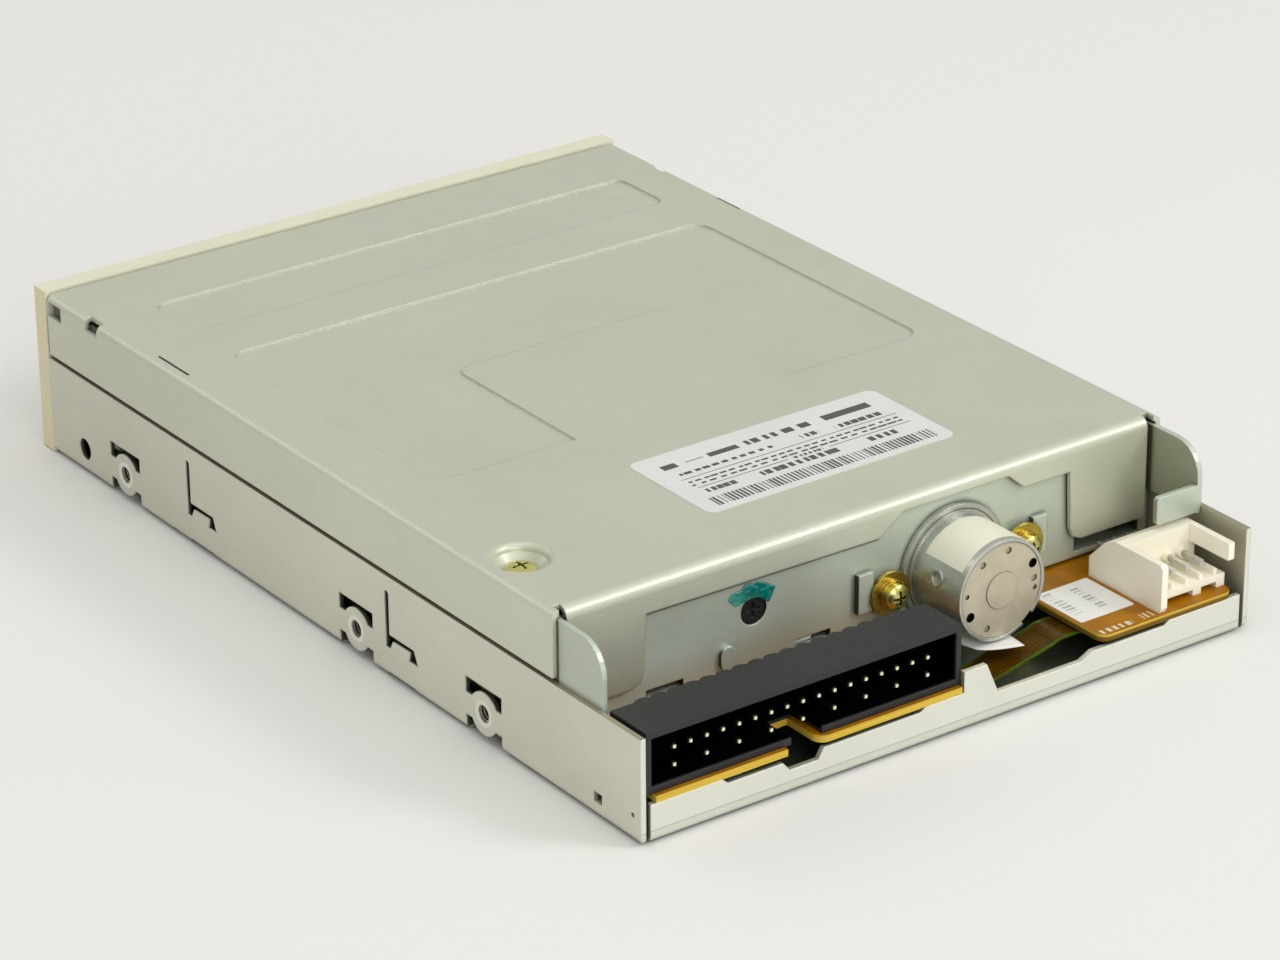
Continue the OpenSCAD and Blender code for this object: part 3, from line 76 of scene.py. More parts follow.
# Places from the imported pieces, with a few sizes of their construction
can_low, can_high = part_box("stepper_can")
cap_low, cap_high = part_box("stepper_cap")
wall_screw_low, wall_screw_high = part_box("wall_screw")
header_low, header_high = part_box("data_header")
SHEET_T = 0.8 * MM
PANEL_T = 3.5 * MM
CAP_STEP = 0.52 * MM
MOUNT_R = 1.25 * MM
COVER_TOP = 25.1 * MM
COVER_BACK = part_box("top_cover")[1].y
BASE_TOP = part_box("base_frame")[1].z
BOARD_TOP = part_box("main_board")[1].z
PANEL_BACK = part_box("bezel")[0].y + PANEL_T
REAR_WALL = can_low.y + SHEET_T
REAR_END = cad_box[1].y
HALF_WIDTH = cad_box[1].x
WALL_SCREW = (wall_screw_low + wall_screw_high) / 2
CAN_AXIS = Vector(((cap_low.x + cap_high.x) / 2, 0, (cap_low.z + cap_high.z) / 2))
CAN_R = (cap_high.x - cap_low.x) / 2 + CAP_STEP
MOUNTS = [(mount["name"], Vector(mount["pos_m"])) for mount in frame["record"]["mounts"]
          if mount["kind"] == "threaded_hole"]

# Camera fitted to the photograph
CAMERA_AT = Vector((0.36009, 0.50638, 0.29954))
CAMERA_AZIMUTH = math.radians(144.31)
CAMERA_ELEVATION = math.radians(25.13)
CAMERA_ROLL = math.radians(-0.4455)
CAMERA_LENS = 136.65


def linear(red, green, blue):
    """Linear colour of an 8-bit screen colour."""
    def one(value):
        value /= 255
        return value / 12.92 if value <= 0.04045 else ((value + 0.055) / 1.055) ** 2.4

    return one(red), one(green), one(blue), 1


# Shader helpers

def put(tree, kind, **settings):
    """Adds a node; settings are its inputs by name, with spaces as underscores, or its own properties."""
    node = tree.nodes.new(kind)
    for key, value in settings.items():
        socket = node.inputs.get(key.replace("_", " "))
        if socket is None:
            setattr(node, key, value)
        elif isinstance(value, bpy.types.NodeSocket):
            tree.links.new(value, socket)
        else:
            socket.default_value = value
    return node


def fill(tree, socket, value):
    """Links a socket or sets a plain value."""
    if isinstance(value, bpy.types.NodeSocket):
        tree.links.new(value, socket)
    else:
        socket.default_value = value


def maths(tree, operation, first, second=0.0):
    node = put(tree, "ShaderNodeMath", operation=operation)
    for socket, value in zip(node.inputs, (first, second)):
        fill(tree, socket, value)
    return node.outputs[0]


def times(tree, product, *factors):
    for factor in factors:
        product = maths(tree, "MULTIPLY", product, factor)
    return product


def blend_colour(tree, share, first, second):
    node = put(tree, "ShaderNodeMix", data_type="RGBA")
    for index, value in ((0, share), (6, first), (7, second)):
        fill(tree, node.inputs[index], value)
    return node.outputs[2]


def spread(tree, value, low, high, to_low=0.0, to_high=1.0):
    node = put(tree, "ShaderNodeMapRange", From_Min=low, From_Max=high, To_Min=to_low, To_Max=to_high)
    tree.links.new(value, node.inputs["Value"])
    return node.outputs["Result"]


def between(tree, value, low, high):
    return times(tree, maths(tree, "GREATER_THAN", value, low), maths(tree, "LESS_THAN", value, high))


def object_place(tree, scale=(1, 1, 1), centre=(0, 0, 0), turn=0.0):
    """Object coordinates, centred, turned about Z and scaled."""
    coordinates = tree.nodes.new("ShaderNodeTexCoord")
    node = put(tree, "ShaderNodeMapping", vector_type="TEXTURE", Vector=coordinates.outputs["Object"])
    node.inputs["Location"].default_value = centre
    node.inputs["Rotation"].default_value = (0, 0, turn)
    node.inputs["Scale"].default_value = [1 / s for s in scale]
    return node.outputs["Vector"]


def place_by_axis(tree):
    return put(tree, "ShaderNodeSeparateXYZ", Vector=object_place(tree)).outputs


def facing_by_axis(tree):
    geometry = tree.nodes.new("ShaderNodeNewGeometry")
    return put(tree, "ShaderNodeSeparateXYZ", Vector=geometry.outputs["Normal"]).outputs


def looks_along(tree, part):
    """Mask of faces whose normal lies mostly along one direction."""
    return spread(tree, part, 0.5, 0.9)


def looks_sideways(tree, facing):
    return looks_along(tree, maths(tree, "ABSOLUTE", facing["X"]))


def away_from(tree, first, first_middle, second, second_middle):
    """Distance from a middle in the plane of two axes."""
    squares = [maths(tree, "POWER", maths(tree, "SUBTRACT", value, middle), 2)
               for value, middle in ((first, first_middle), (second, second_middle))]
    return maths(tree, "SQRT", maths(tree, "ADD", *squares))


def new_group(name, inputs, outputs):
    group = bpy.data.node_groups.new(name, "ShaderNodeTree")
    for label, value in inputs:
        socket = group.interface.new_socket(label, in_out="INPUT", socket_type="NodeSocketFloat")
        socket.default_value = value
    for label, kind in outputs:
        group.interface.new_socket(label, in_out="OUTPUT", socket_type=kind)
    return group, group.nodes.new("NodeGroupInput").outputs, group.nodes.new("NodeGroupOutput").inputs


def use_group(tree, group, **values):
    node = tree.nodes.new("ShaderNodeGroup")
    node.node_tree = group
    for key, value in values.items():
        node.inputs[key.replace("_", " ")].default_value = value
    return node.outputs


def make_mottle():
    """Slow clouds and fine grain over a surface."""
    group, given, result = new_group(
        "mottle", [("Cloud Scale", 60), ("Grain Scale", 900)],
        [("Cloud", "NodeSocketFloat"), ("Grain", "NodeSocketFloat")])
    place = object_place(group)
    cloud = put(group, "ShaderNodeTexNoise", Vector=place, Scale=given["Cloud Scale"], Detail=4,
                Roughness=0.6)
    grain = put(group, "ShaderNodeTexNoise", Vector=place, Scale=given["Grain Scale"], Detail=2,
                Roughness=0.55)
    group.links.new(spread(group, cloud.outputs["Fac"], 0.3, 0.7), result["Cloud"])
    group.links.new(spread(group, grain.outputs["Fac"], 0.25, 0.75), result["Grain"])
    return group


def make_rolling():
    """Fine lines left by rolling and light scratches across them."""
    group, given, result = new_group(
        "rolling", [("Line Scale", 1400), ("Scratch Scale", 45)],
        [("Lines", "NodeSocketFloat"), ("Scratches", "NodeSocketFloat")])
    drawn_out = object_place(group, (1, 0.02, 1))
    lines = put(group, "ShaderNodeTexNoise", Vector=drawn_out, Scale=given["Line Scale"], Detail=3,
                Roughness=0.7)
    slanted = object_place(group, (0.35, 5, 1), turn=0.5)
    scratches = put(group, "ShaderNodeTexVoronoi", feature="DISTANCE_TO_EDGE", Vector=slanted,
                    Scale=given["Scratch Scale"], Randomness=1)
    sparse = put(group, "ShaderNodeTexNoise", Vector=object_place(group), Scale=90, Detail=3)
    thin = spread(group, scratches.outputs["Distance"], 0.0, 0.012, 1, 0)
    some = spread(group, sparse.outputs["Fac"], 0.56, 0.66)
    group.links.new(spread(group, lines.outputs["Fac"], 0.3, 0.7), result["Lines"])
    group.links.new(times(group, thin, some), result["Scratches"])
    return group


def make_soft_edge():
    """Rounded normal near sharp edges, and a mask of those edges broken up in patches, which the finishes
    use mostly for painted highlights along edges.
    """
    group, given, result = new_group(
        "soft_edge", [("Radius", 0.0002), ("Break Up", 500)],
        [("Normal", "NodeSocketVector"), ("Edge", "NodeSocketFloat")])
    rounded = put(group, "ShaderNodeBevel", samples=6, Radius=given["Radius"])
    flat = group.nodes.new("ShaderNodeNewGeometry")
    dot = put(group, "ShaderNodeVectorMath", operation="DOT_PRODUCT")
    group.links.new(rounded.outputs["Normal"], dot.inputs[0])
    group.links.new(flat.outputs["Normal"], dot.inputs[1])
    edge = spread(group, dot.outputs["Value"], 0.99, 0.8)
    # Noise that breaks the painted edge highlights into patches
    break_up_noise = put(group, "ShaderNodeTexNoise", Vector=object_place(group), Scale=given["Break Up"], Detail=3)
    patches = spread(group, break_up_noise.outputs["Fac"], 0.35, 0.6, 0.35, 1)
    group.links.new(rounded.outputs["Normal"], result["Normal"])
    group.links.new(times(group, edge, patches), result["Edge"])
    return group


def make_gap_shade():
    """How open a place is: near 0 in gaps, cut-outs and corners, where light is scarce; the finishes paint
    shade there with it.
    """
    group, given, result = new_group(
        "gap_shade", [("Distance", 0.002), ("Shut", 0.12), ("Clear", 0.45)], [("Open", "NodeSocketFloat")])
    open_share = put(group, "ShaderNodeAmbientOcclusion", samples=5, Distance=given["Distance"])
    group.links.new(spread(group, open_share.outputs["AO"], given["Shut"], given["Clear"]), result["Open"])
    return group


MOTTLE = make_mottle()
ROLLING = make_rolling()
SOFT_EDGE = make_soft_edge()
GAP_SHADE = make_gap_shade()


def start_material(name):
    material = bpy.data.materials.new(name)
    material.use_nodes = True
    tree = material.node_tree
    return material, tree, tree.nodes["Principled BSDF"]


def set_colour(tree, shader, colour):
    tree.links.new(colour, shader.inputs["Base Color"])


def set_roughness(tree, shader, grain, base, amount, polish=0.0):
    """Roughness that rises with the grain and falls with the polish."""
    rough = maths(tree, "ADD", base, times(tree, grain, amount))
    tree.links.new(maths(tree, "SUBTRACT", rough, polish), shader.inputs["Roughness"])


def add_bump(tree, shader, height, distance, strength, normal=None):
    bump = put(tree, "ShaderNodeBump", Strength=strength, Distance=distance, Height=height)
    if normal is not None:
        tree.links.new(normal, bump.inputs["Normal"])
    tree.links.new(bump.outputs["Normal"], shader.inputs["Normal"])


def box_mask(tree, low, high):
    """Mask of what lies in a box."""
    place = place_by_axis(tree)
    sides = zip("XYZ", low, high)
    return times(tree, *[between(tree, place[axis], first, last) for axis, first, last in sides])


MM_PER_METRE = (1000, 1000, 1000)
BAR_VARIES = 0.25


def print_mask(tree, middle, turn, rows, blocks=()):
    """Mask of plain print, in millimetres from a middle: blocks, and rows with one bar in each pitch."""
    place = object_place(tree, MM_PER_METRE, (middle.x, middle.y, 0), turn)
    split = put(tree, "ShaderNodeSeparateXYZ", Vector=place).outputs
    across, along = split["X"], split["Y"]
    ink = 0.0
    for left, right, low, high in blocks:
        area = times(tree, between(tree, across, left, right), between(tree, along, low, high))
        ink = maths(tree, "MAXIMUM", ink, area)
    for left, right, low, high, pitch, share in rows:
        area = times(tree, between(tree, across, left, right), between(tree, along, low, high))
        cells = maths(tree, "DIVIDE", across, pitch)
        cell = put(tree, "ShaderNodeCombineXYZ", X=maths(tree, "FLOOR", cells), Y=low)
        pick = put(tree, "ShaderNodeTexWhiteNoise", noise_dimensions="2D", Vector=cell.outputs["Vector"])
        wide = spread(tree, pick.outputs["Value"], 0, 1, share - BAR_VARIES, share + BAR_VARIES)
        bars = maths(tree, "LESS_THAN", maths(tree, "FRACT", cells), wide)
        ink = maths(tree, "MAXIMUM", ink, times(tree, area, bars))
    return ink


# Painted light and shade on single places of the sheet steel: each gives a share and the colour to blend in

# Shade line on the rear wall: its height, its rise along X and its two ends
FLANGE_LINE = 19.66 * MM
FLANGE_RISE = 0.0079
FLANGE_ENDS = (-2.6 * MM, 35.5 * MM)

# Height of the crease on the rear lip, and the box of the floor below the main board
LIP_CREASE = 1.7 * MM
UNDER_BOARD = (Vector((-45 * MM, REAR_WALL - 2 * MM, -MM)),
               Vector((30 * MM, REAR_END - 0.85 * MM, 1.5 * MM)))

# Pairs of places between which a tone fades in or out
LOW_WALL_FADE = (18 * MM, 12 * MM)
RIGHT_WALL_FADE = (14 * MM, 30 * MM)
WALL_FACE_FADE = (REAR_WALL - 0.3 * MM, REAR_WALL - 0.1 * MM)
SHADE_LINE_FADE = (0.06 * MM, 0.22 * MM)
SEAM_FADE = (COVER_BACK + 0.1 * MM, COVER_BACK + 0.4 * MM)
BEHIND_SKIN_FADE = (HALF_WIDTH - 0.15 * MM, HALF_WIDTH - 0.35 * MM)
NEAR_SIDE_FADE = (HALF_WIDTH - 7 * MM, HALF_WIDTH - 5 * MM)
AHEAD_FADE = (REAR_WALL - 1 * MM, REAR_WALL - 3 * MM)
OFF_FLOOR_FADE = (0.2 * MM, 0.4 * MM)
FRONT_FADE = (PANEL_BACK + 95 * MM, PANEL_BACK + 20 * MM)
RIM_FADE = (BASE_TOP - 0.1 * MM, BASE_TOP - 0.05 * MM)
LIP_FADE = (REAR_END - 0.1 * MM, REAR_END - 0.05 * MM)
CREASE_FADE = (0.04 * MM, 0.16 * MM)
BEND_FADE = (LIP_CREASE + 0.05 * MM, LIP_CREASE - 0.05 * MM)


def low_wall_light(tree, place, _):
    """Painted light on the low part of the rear wall beside the right-hand ear."""
    share = times(tree, spread(tree, place["Z"], *LOW_WALL_FADE, 0, 0.6),
                  spread(tree, place["Y"], *WALL_FACE_FADE), spread(tree, place["X"], *RIGHT_WALL_FADE))
    return share, linear(236, 252, 244)


def flange_shade(tree, place, facing):
    """Line of shade on the rear wall just below the cover's rear flange."""
    level = maths(tree, "SUBTRACT", place["Z"], times(tree, place["X"], FLANGE_RISE))
    off_line = maths(tree, "ABSOLUTE", maths(tree, "SUBTRACT", level, FLANGE_LINE))
    share = times(tree, spread(tree, off_line, *SHADE_LINE_FADE, 0.75, 0),
                  between(tree, place["X"], *FLANGE_ENDS), looks_along(tree, facing["Y"]))
    return share, linear(58, 62, 52)


def ear_side_shade(tree, _, facing):
    """Painted shade on side faces."""
    return times(tree, looks_sideways(tree, facing), 0.35), linear(164, 164, 146)


def ear_seam_shade(tree, place, facing):
    """Painted shade line on the ears where the cover ends."""
    line = spread(tree, place["Y"], *SEAM_FADE, 0.9, 0)
    return times(tree, line, looks_sideways(tree, facing)), linear(26, 26, 22)


def inward_shade(tree, place, facing):
    """Painted shade on side faces that look towards the middle of the case."""
    inward = times(tree, facing["X"], maths(tree, "SIGN", place["X"]))
    return times(tree, spread(tree, inward, -0.4, -0.8), 0.5), linear(128, 120, 86)


def hidden_shade(tree, place, _):
    """Painted shade on surfaces just behind the outer skin of the sides, ahead of the rear wall."""
    out = maths(tree, "ABSOLUTE", place["X"])
    share = times(tree, spread(tree, out, *BEHIND_SKIN_FADE), spread(tree, place["Y"], *AHEAD_FADE),
                  spread(tree, place["Z"], *OFF_FLOOR_FADE), spread(tree, out, *NEAR_SIDE_FADE), 0.9)
    return share, linear(58, 58, 52)


def under_board_shade(tree, *_):
    """Painted shade on the floor of the base below the main board, tinted green as a painted reflection of
    the board's underside.
    """
    return times(tree, box_mask(tree, *UNDER_BOARD), 0.8), linear(50, 72, 40)


def front_shade(strength):
    """Painted shade on side faces, deepening towards the front."""
    def tone(tree, place, facing):
        near_front = spread(tree, place["Y"], *FRONT_FADE, 0, strength)
        return times(tree, near_front, looks_sideways(tree, facing)), linear(120, 110, 84)

    return tone


def rim_shade(tree, place, facing):
    """Painted shade on the top edges of the base's walls, in the seam under the cover."""
    at_top = spread(tree, place["Z"], *RIM_FADE)
    return times(tree, looks_along(tree, facing["Z"]), at_top), linear(168, 158, 132)


def on_lip(tree, place, facing):
    """Mask of the rear lip's outer face."""
    return times(tree, looks_along(tree, facing["Y"]), spread(tree, place["Y"], *LIP_FADE))


# Painted light on the rear lip's outer face
def lip_light(tree, place, facing):
    return times(tree, on_lip(tree, place, facing), 0.5), linear(239, 242, 234)


def lip_crease_shade(tree, place, facing):
    """Painted shade: a line where the rear lip's bend starts, and the slightly darker bend below it."""
    off_line = maths(tree, "ABSOLUTE", maths(tree, "SUBTRACT", place["Z"], LIP_CREASE))
    crease = maths(tree, "MAXIMUM", spread(tree, off_line, *CREASE_FADE, 0.4, 0),
                   spread(tree, place["Z"], *BEND_FADE, 0, 0.12))
    return times(tree, on_lip(tree, place, facing), crease), linear(110, 108, 94)


# Finishes

# Painted shade in gaps: distance that counts as a gap, and the open shares taken as shut and as clear
SHEET_GAP = (2.5 * MM, 0.12, 0.45)
SMALL_GAP = (1.2 * MM, 0.12, 0.45)
PLATED_GAP = (0.9 * MM, 0.35, 0.88)
CAP_GAP = (0.7 * MM, 0.3, 0.85)

# Ring round a mounting boss, with a painted highlight; painted shade line at the step of the motor's
# flange; painted shade in the motor's vent holes
BOSS_RING = (MOUNT_R, 1.8 * MM)
RING_SOFT_IN = 0.1 * MM
RING_SOFT_OUT = 0.2 * MM
STEP_INNER = 0.04 * MM
STEP_OUTER = 0.14 * MM
VENT_HALF = 0.77 * MM
VENT_FRONT = can_high.y - 8 * MM
VENT_BACK = can_high.y - 0.14 * MM

# Share of a pin's bright reach that is fully bright, before the painted shade sets in
PIN_LIT_SHARE = 0.35


def ring_mask(tree, places, inner, outer):
    """Mask of rings in the YZ plane about some places, on faces that look along X."""
    place = place_by_axis(tree)
    mask = 0.0
    for middle in places:
        away = away_from(tree, place["Y"], middle.y, place["Z"], middle.z)
        ring = times(tree, spread(tree, away, inner - RING_SOFT_IN, inner),
                     spread(tree, away, outer, outer + RING_SOFT_OUT, 1, 0))
        mask = maths(tree, "MAXIMUM", mask, ring)
    return times(tree, mask, looks_sideways(tree, facing_by_axis(tree)))


def sheet_steel(name, pale, dark, edge_colour, metallic, roughness, edge_glint=0.2, gap=SHEET_GAP,
                painted_tones=(), rings=()):
    """Zinc-coated sheet: slow colour clouds, rolling lines, a few scratches, painted highlights along edges
    and on any pressed rings, painted shade in gaps, and the given tones of painted light and shade.
    """
    material, tree, shader = start_material(name)
    mottle = use_group(tree, MOTTLE, Cloud_Scale=38, Grain_Scale=1600)
    rolling = use_group(tree, ROLLING, Line_Scale=1500, Scratch_Scale=42)
    edge = use_group(tree, SOFT_EDGE, Radius=0.35 * MM, Break_Up=260)
    share = maths(tree, "ADD", times(tree, mottle["Cloud"], 0.7), times(tree, rolling["Lines"], 0.2))
    colour = blend_colour(tree, share, dark, pale)
    colour = blend_colour(tree, times(tree, rolling["Scratches"], 0.12), colour, edge_colour)
    # Painted highlight along the edges
    colour = blend_colour(tree, times(tree, edge["Edge"], edge_glint), colour, edge_colour)
    height = maths(tree, "ADD", times(tree, rolling["Lines"], 0.5), times(tree, mottle["Grain"], 0.5))
    stain = put(tree, "ShaderNodeTexNoise", Vector=object_place(tree, (1, 1, 1.6)), Scale=110, Detail=5,
                Roughness=0.65)
    stained = spread(tree, stain.outputs["Fac"], 0.55, 0.8, 0, 0.1)
    colour = blend_colour(tree, stained, colour, linear(168, 156, 126))
    # Painted shade in gaps, cut-outs and corners
    shade = use_group(tree, GAP_SHADE, Distance=gap[0], Shut=gap[1], Clear=gap[2])
    colour = blend_colour(tree, shade["Open"], linear(22, 21, 17), colour)
    place = place_by_axis(tree)
    facing = facing_by_axis(tree)
    # Painted light and shade on single places
    for tone in painted_tones:
        amount, tint = tone(tree, place, facing)
        colour = blend_colour(tree, amount, colour, tint)
    # Pressed rings round the mounting holes: raised in the bump, with a painted highlight on them
    if rings:
        pressed = ring_mask(tree, rings, *BOSS_RING)
        colour = blend_colour(tree, times(tree, pressed, 0.6), colour, edge_colour)
        height = maths(tree, "ADD", height, times(tree, pressed, 12))
    set_colour(tree, shader, colour)
    polish = times(tree, rolling["Scratches"], 0.1)
    set_roughness(tree, shader, mottle["Grain"], base=roughness - 0.06, amount=0.12, polish=polish)
    shader.inputs["Metallic"].default_value = metallic
    shader.inputs["Coat Weight"].default_value = 0.4
    shader.inputs["Coat Roughness"].default_value = 0.2
    add_bump(tree, shader, height, distance=0.003 * MM, strength=0.4, normal=edge["Normal"])
    return material


def plain_metal(name, pale, dark, roughness, cloud=120, radius=0.12 * MM, metallic=0.9, holes=(),
                gap=SMALL_GAP, step=None):
    """Ground, turned or plated small piece, with painted highlights along its edges and painted shade in
    gaps; on the motor also painted shade in its vent holes and a painted shade line at its flange's step.
    """
    material, tree, shader = start_material(name)
    mottle = use_group(tree, MOTTLE, Cloud_Scale=cloud, Grain_Scale=1200)
    edge = use_group(tree, SOFT_EDGE, Radius=radius, Break_Up=900)
    colour = blend_colour(tree, mottle["Cloud"], dark, pale)
    # Painted highlight along the edges
    colour = blend_colour(tree, times(tree, edge["Edge"], 0.4), colour, pale)
    # Painted shade in gaps and corners
    shade = use_group(tree, GAP_SHADE, Distance=gap[0], Shut=gap[1], Clear=gap[2])
    colour = blend_colour(tree, shade["Open"], linear(26, 24, 20), colour)
    # Painted shade line at the step of the motor's flange
    if step:
        place = place_by_axis(tree)
        away = away_from(tree, place["X"], CAN_AXIS.x, place["Z"], CAN_AXIS.z)
        line = times(tree, spread(tree, away, step - STEP_OUTER, step - STEP_INNER),
                     spread(tree, away, step + STEP_INNER, step + STEP_OUTER, 0.75, 0))
        colour = blend_colour(tree, line, colour, linear(40, 40, 36))
    # Painted shade in the vent holes
    for hole in holes:
        low = Vector((hole.x - VENT_HALF, VENT_FRONT, hole.z - VENT_HALF))
        high = Vector((hole.x + VENT_HALF, VENT_BACK, hole.z + VENT_HALF))
        colour = blend_colour(tree, box_mask(tree, low, high), colour, linear(10, 9, 8))
    set_colour(tree, shader, colour)
    set_roughness(tree, shader, mottle["Grain"], base=roughness - 0.06, amount=0.14)
    shader.inputs["Metallic"].default_value = metallic
    add_bump(tree, shader, mottle["Grain"], distance=0.002 * MM, strength=0.2, normal=edge["Normal"])
    return material


def contact_pin(name, tip, bright, shaded_colour, reach):
    """Plated pin: bright at its tip, with painted shade further in."""
    material, tree, shader = start_material(name)
    mottle = use_group(tree, MOTTLE, Cloud_Scale=500, Grain_Scale=2500)
    # Painted shade along the pin, away from its bright tip
    lit_tip = times(tree, spread(tree, place_by_axis(tree)["Y"], tip - reach, tip - PIN_LIT_SHARE * reach),
                  spread(tree, mottle["Cloud"], 0, 1, 0.8, 1))
    set_colour(tree, shader, blend_colour(tree, lit_tip, shaded_colour, bright))
    set_roughness(tree, shader, mottle["Grain"], base=0.24, amount=0.12)
    shader.inputs["Metallic"].default_value = 0.35
    return material


def moulded_plastic(name, pale, dark, roughness, grain_depth=0.012 * MM, cavity=None, side_shade=None):
    """Moulded plastic with a fine spark-eroded grain, softly rounded edges with painted highlights and
    faint flow marks; where given, painted shade in a cavity and on side faces.
    """
    material, tree, shader = start_material(name)
    mottle = use_group(tree, MOTTLE, Cloud_Scale=70, Grain_Scale=1900)
    edge = use_group(tree, SOFT_EDGE, Radius=0.25 * MM, Break_Up=400)
    colour = blend_colour(tree, times(tree, mottle["Cloud"], 0.8), pale, dark)
    # Painted highlight along the edges
    colour = blend_colour(tree, times(tree, edge["Edge"], 0.3), colour, pale)
    sheen = 0.45
    shader.inputs["Specular IOR Level"].default_value = sheen
    # Painted shade in the cavity, with its sheen taken away
    if cavity:
        hidden = box_mask(tree, *cavity)
        colour = blend_colour(tree, hidden, colour, linear(4, 4, 5))
        tree.links.new(spread(tree, hidden, 0, 1, sheen, 0), shader.inputs["Specular IOR Level"])
    # Painted shade on side faces
    if side_shade:
        sideways = looks_sideways(tree, facing_by_axis(tree))
        colour = blend_colour(tree, times(tree, sideways, 0.8), colour, side_shade)
    set_colour(tree, shader, colour)
    set_roughness(tree, shader, mottle["Grain"], base=roughness - 0.07, amount=0.14)
    add_bump(tree, shader, mottle["Grain"], distance=grain_depth, strength=0.7, normal=edge["Normal"])
    return material


def yellow_zinc(name, pale, dark, glint):
    """Yellow passivated zinc, uneven in tint, with painted highlights along its edges and painted shade in
    gaps.
    """
    material, tree, shader = start_material(name)
    mottle = use_group(tree, MOTTLE, Cloud_Scale=180, Grain_Scale=2500)
    edge = use_group(tree, SOFT_EDGE, Radius=0.15 * MM, Break_Up=900)
    colour = blend_colour(tree, mottle["Cloud"], dark, pale)
    # Painted highlight along the edges
    colour = blend_colour(tree, times(tree, edge["Edge"], 0.5), colour, glint)
    # Painted shade in gaps
    gap = use_group(tree, GAP_SHADE, Distance=1 * MM)
    set_colour(tree, shader, blend_colour(tree, gap["Open"], linear(48, 36, 8), colour))
    set_roughness(tree, shader, mottle["Grain"], base=0.18, amount=0.16)
    shader.inputs["Metallic"].default_value = 0.9
    add_bump(tree, shader, mottle["Grain"], distance=0.002 * MM, strength=0.15, normal=edge["Normal"])
    return material


STICKER_LOW = Vector((-34.6 * MM, PANEL_BACK + 132.7 * MM))
STICKER_HIGH = Vector((-25.2 * MM, PANEL_BACK + 142.6 * MM))
STICKER_MIDDLE = (STICKER_LOW + STICKER_HIGH) / 2

# Rows of bars, in millimetres from a label's middle: left, right, low, high, pitch and inked share
BOARD_ROWS = [(-4.4, 1.2, -9.2, -8.1, 1.1, 0.55), (3.0, 4.8, -9.0, -7.5, 0.9, 0.5)]
STICKER_ROWS = [(-4.2, 3.4, -3.9, -2.4, 0.85, 0.35), (-3.8, 3.4, 0.3, 1.7, 0.85, 0.35)]
LABEL_ROWS = [(-19, 18.4, 5.5, 8.1, 0.62, 0.5), (-15, -10, 2.9, 4.2, 1.25, 0.75),
              (-5, 8, 2.9, 4.2, 1.25, 0.75), (12, 17, 2.9, 4.0, 1.1, 0.7),
              (-3.6, 1.6, 1.8, 2.4, 0.8, 0.7), (-18, 17.6, 0.9, 1.35, 1.7, 0.7),
              (-18, 17.6, -0.15, 0.3, 1.4, 0.7), (-17, -9, -2.9, -1.8, 1.3, 0.7),
              (-6.4, -3.4, -3.2, -2.1, 1.2, 0.7), (1.4, 17, -2.9, -2.2, 1.5, 0.7),
              (-1.4, 4.2, -6.2, -4.8, 1.6, 0.65)]

# Ruled lines and solid blocks of the cover label: left, right, low and high
LABEL_BLOCKS = [(-18.6, -4.6, 2.0, 2.16), (2.4, 17.4, 2.0, 2.16), (-18.6, 17.8, -1.15, -0.99),
                (-17.4, -9.4, -6.4, -4.8), (-7, -5.2, -6.2, -4.8), (-4.2, -2.4, -6.2, -4.8),
                (5.2, 10.2, -6.0, -4.8), (11, 14, -5.5, -5.3), (15.4, 17.8, -6.2, -4.8)]

# Painted shade on the board's edge: where it fades in along X and down from the top
EDGE_SHADE_ACROSS = (CAN_AXIS.x, CAN_AXIS.x - 4 * MM)
EDGE_SHADE_DOWN = (BOARD_TOP - 0.15 * MM, BOARD_TOP - 0.5 * MM)


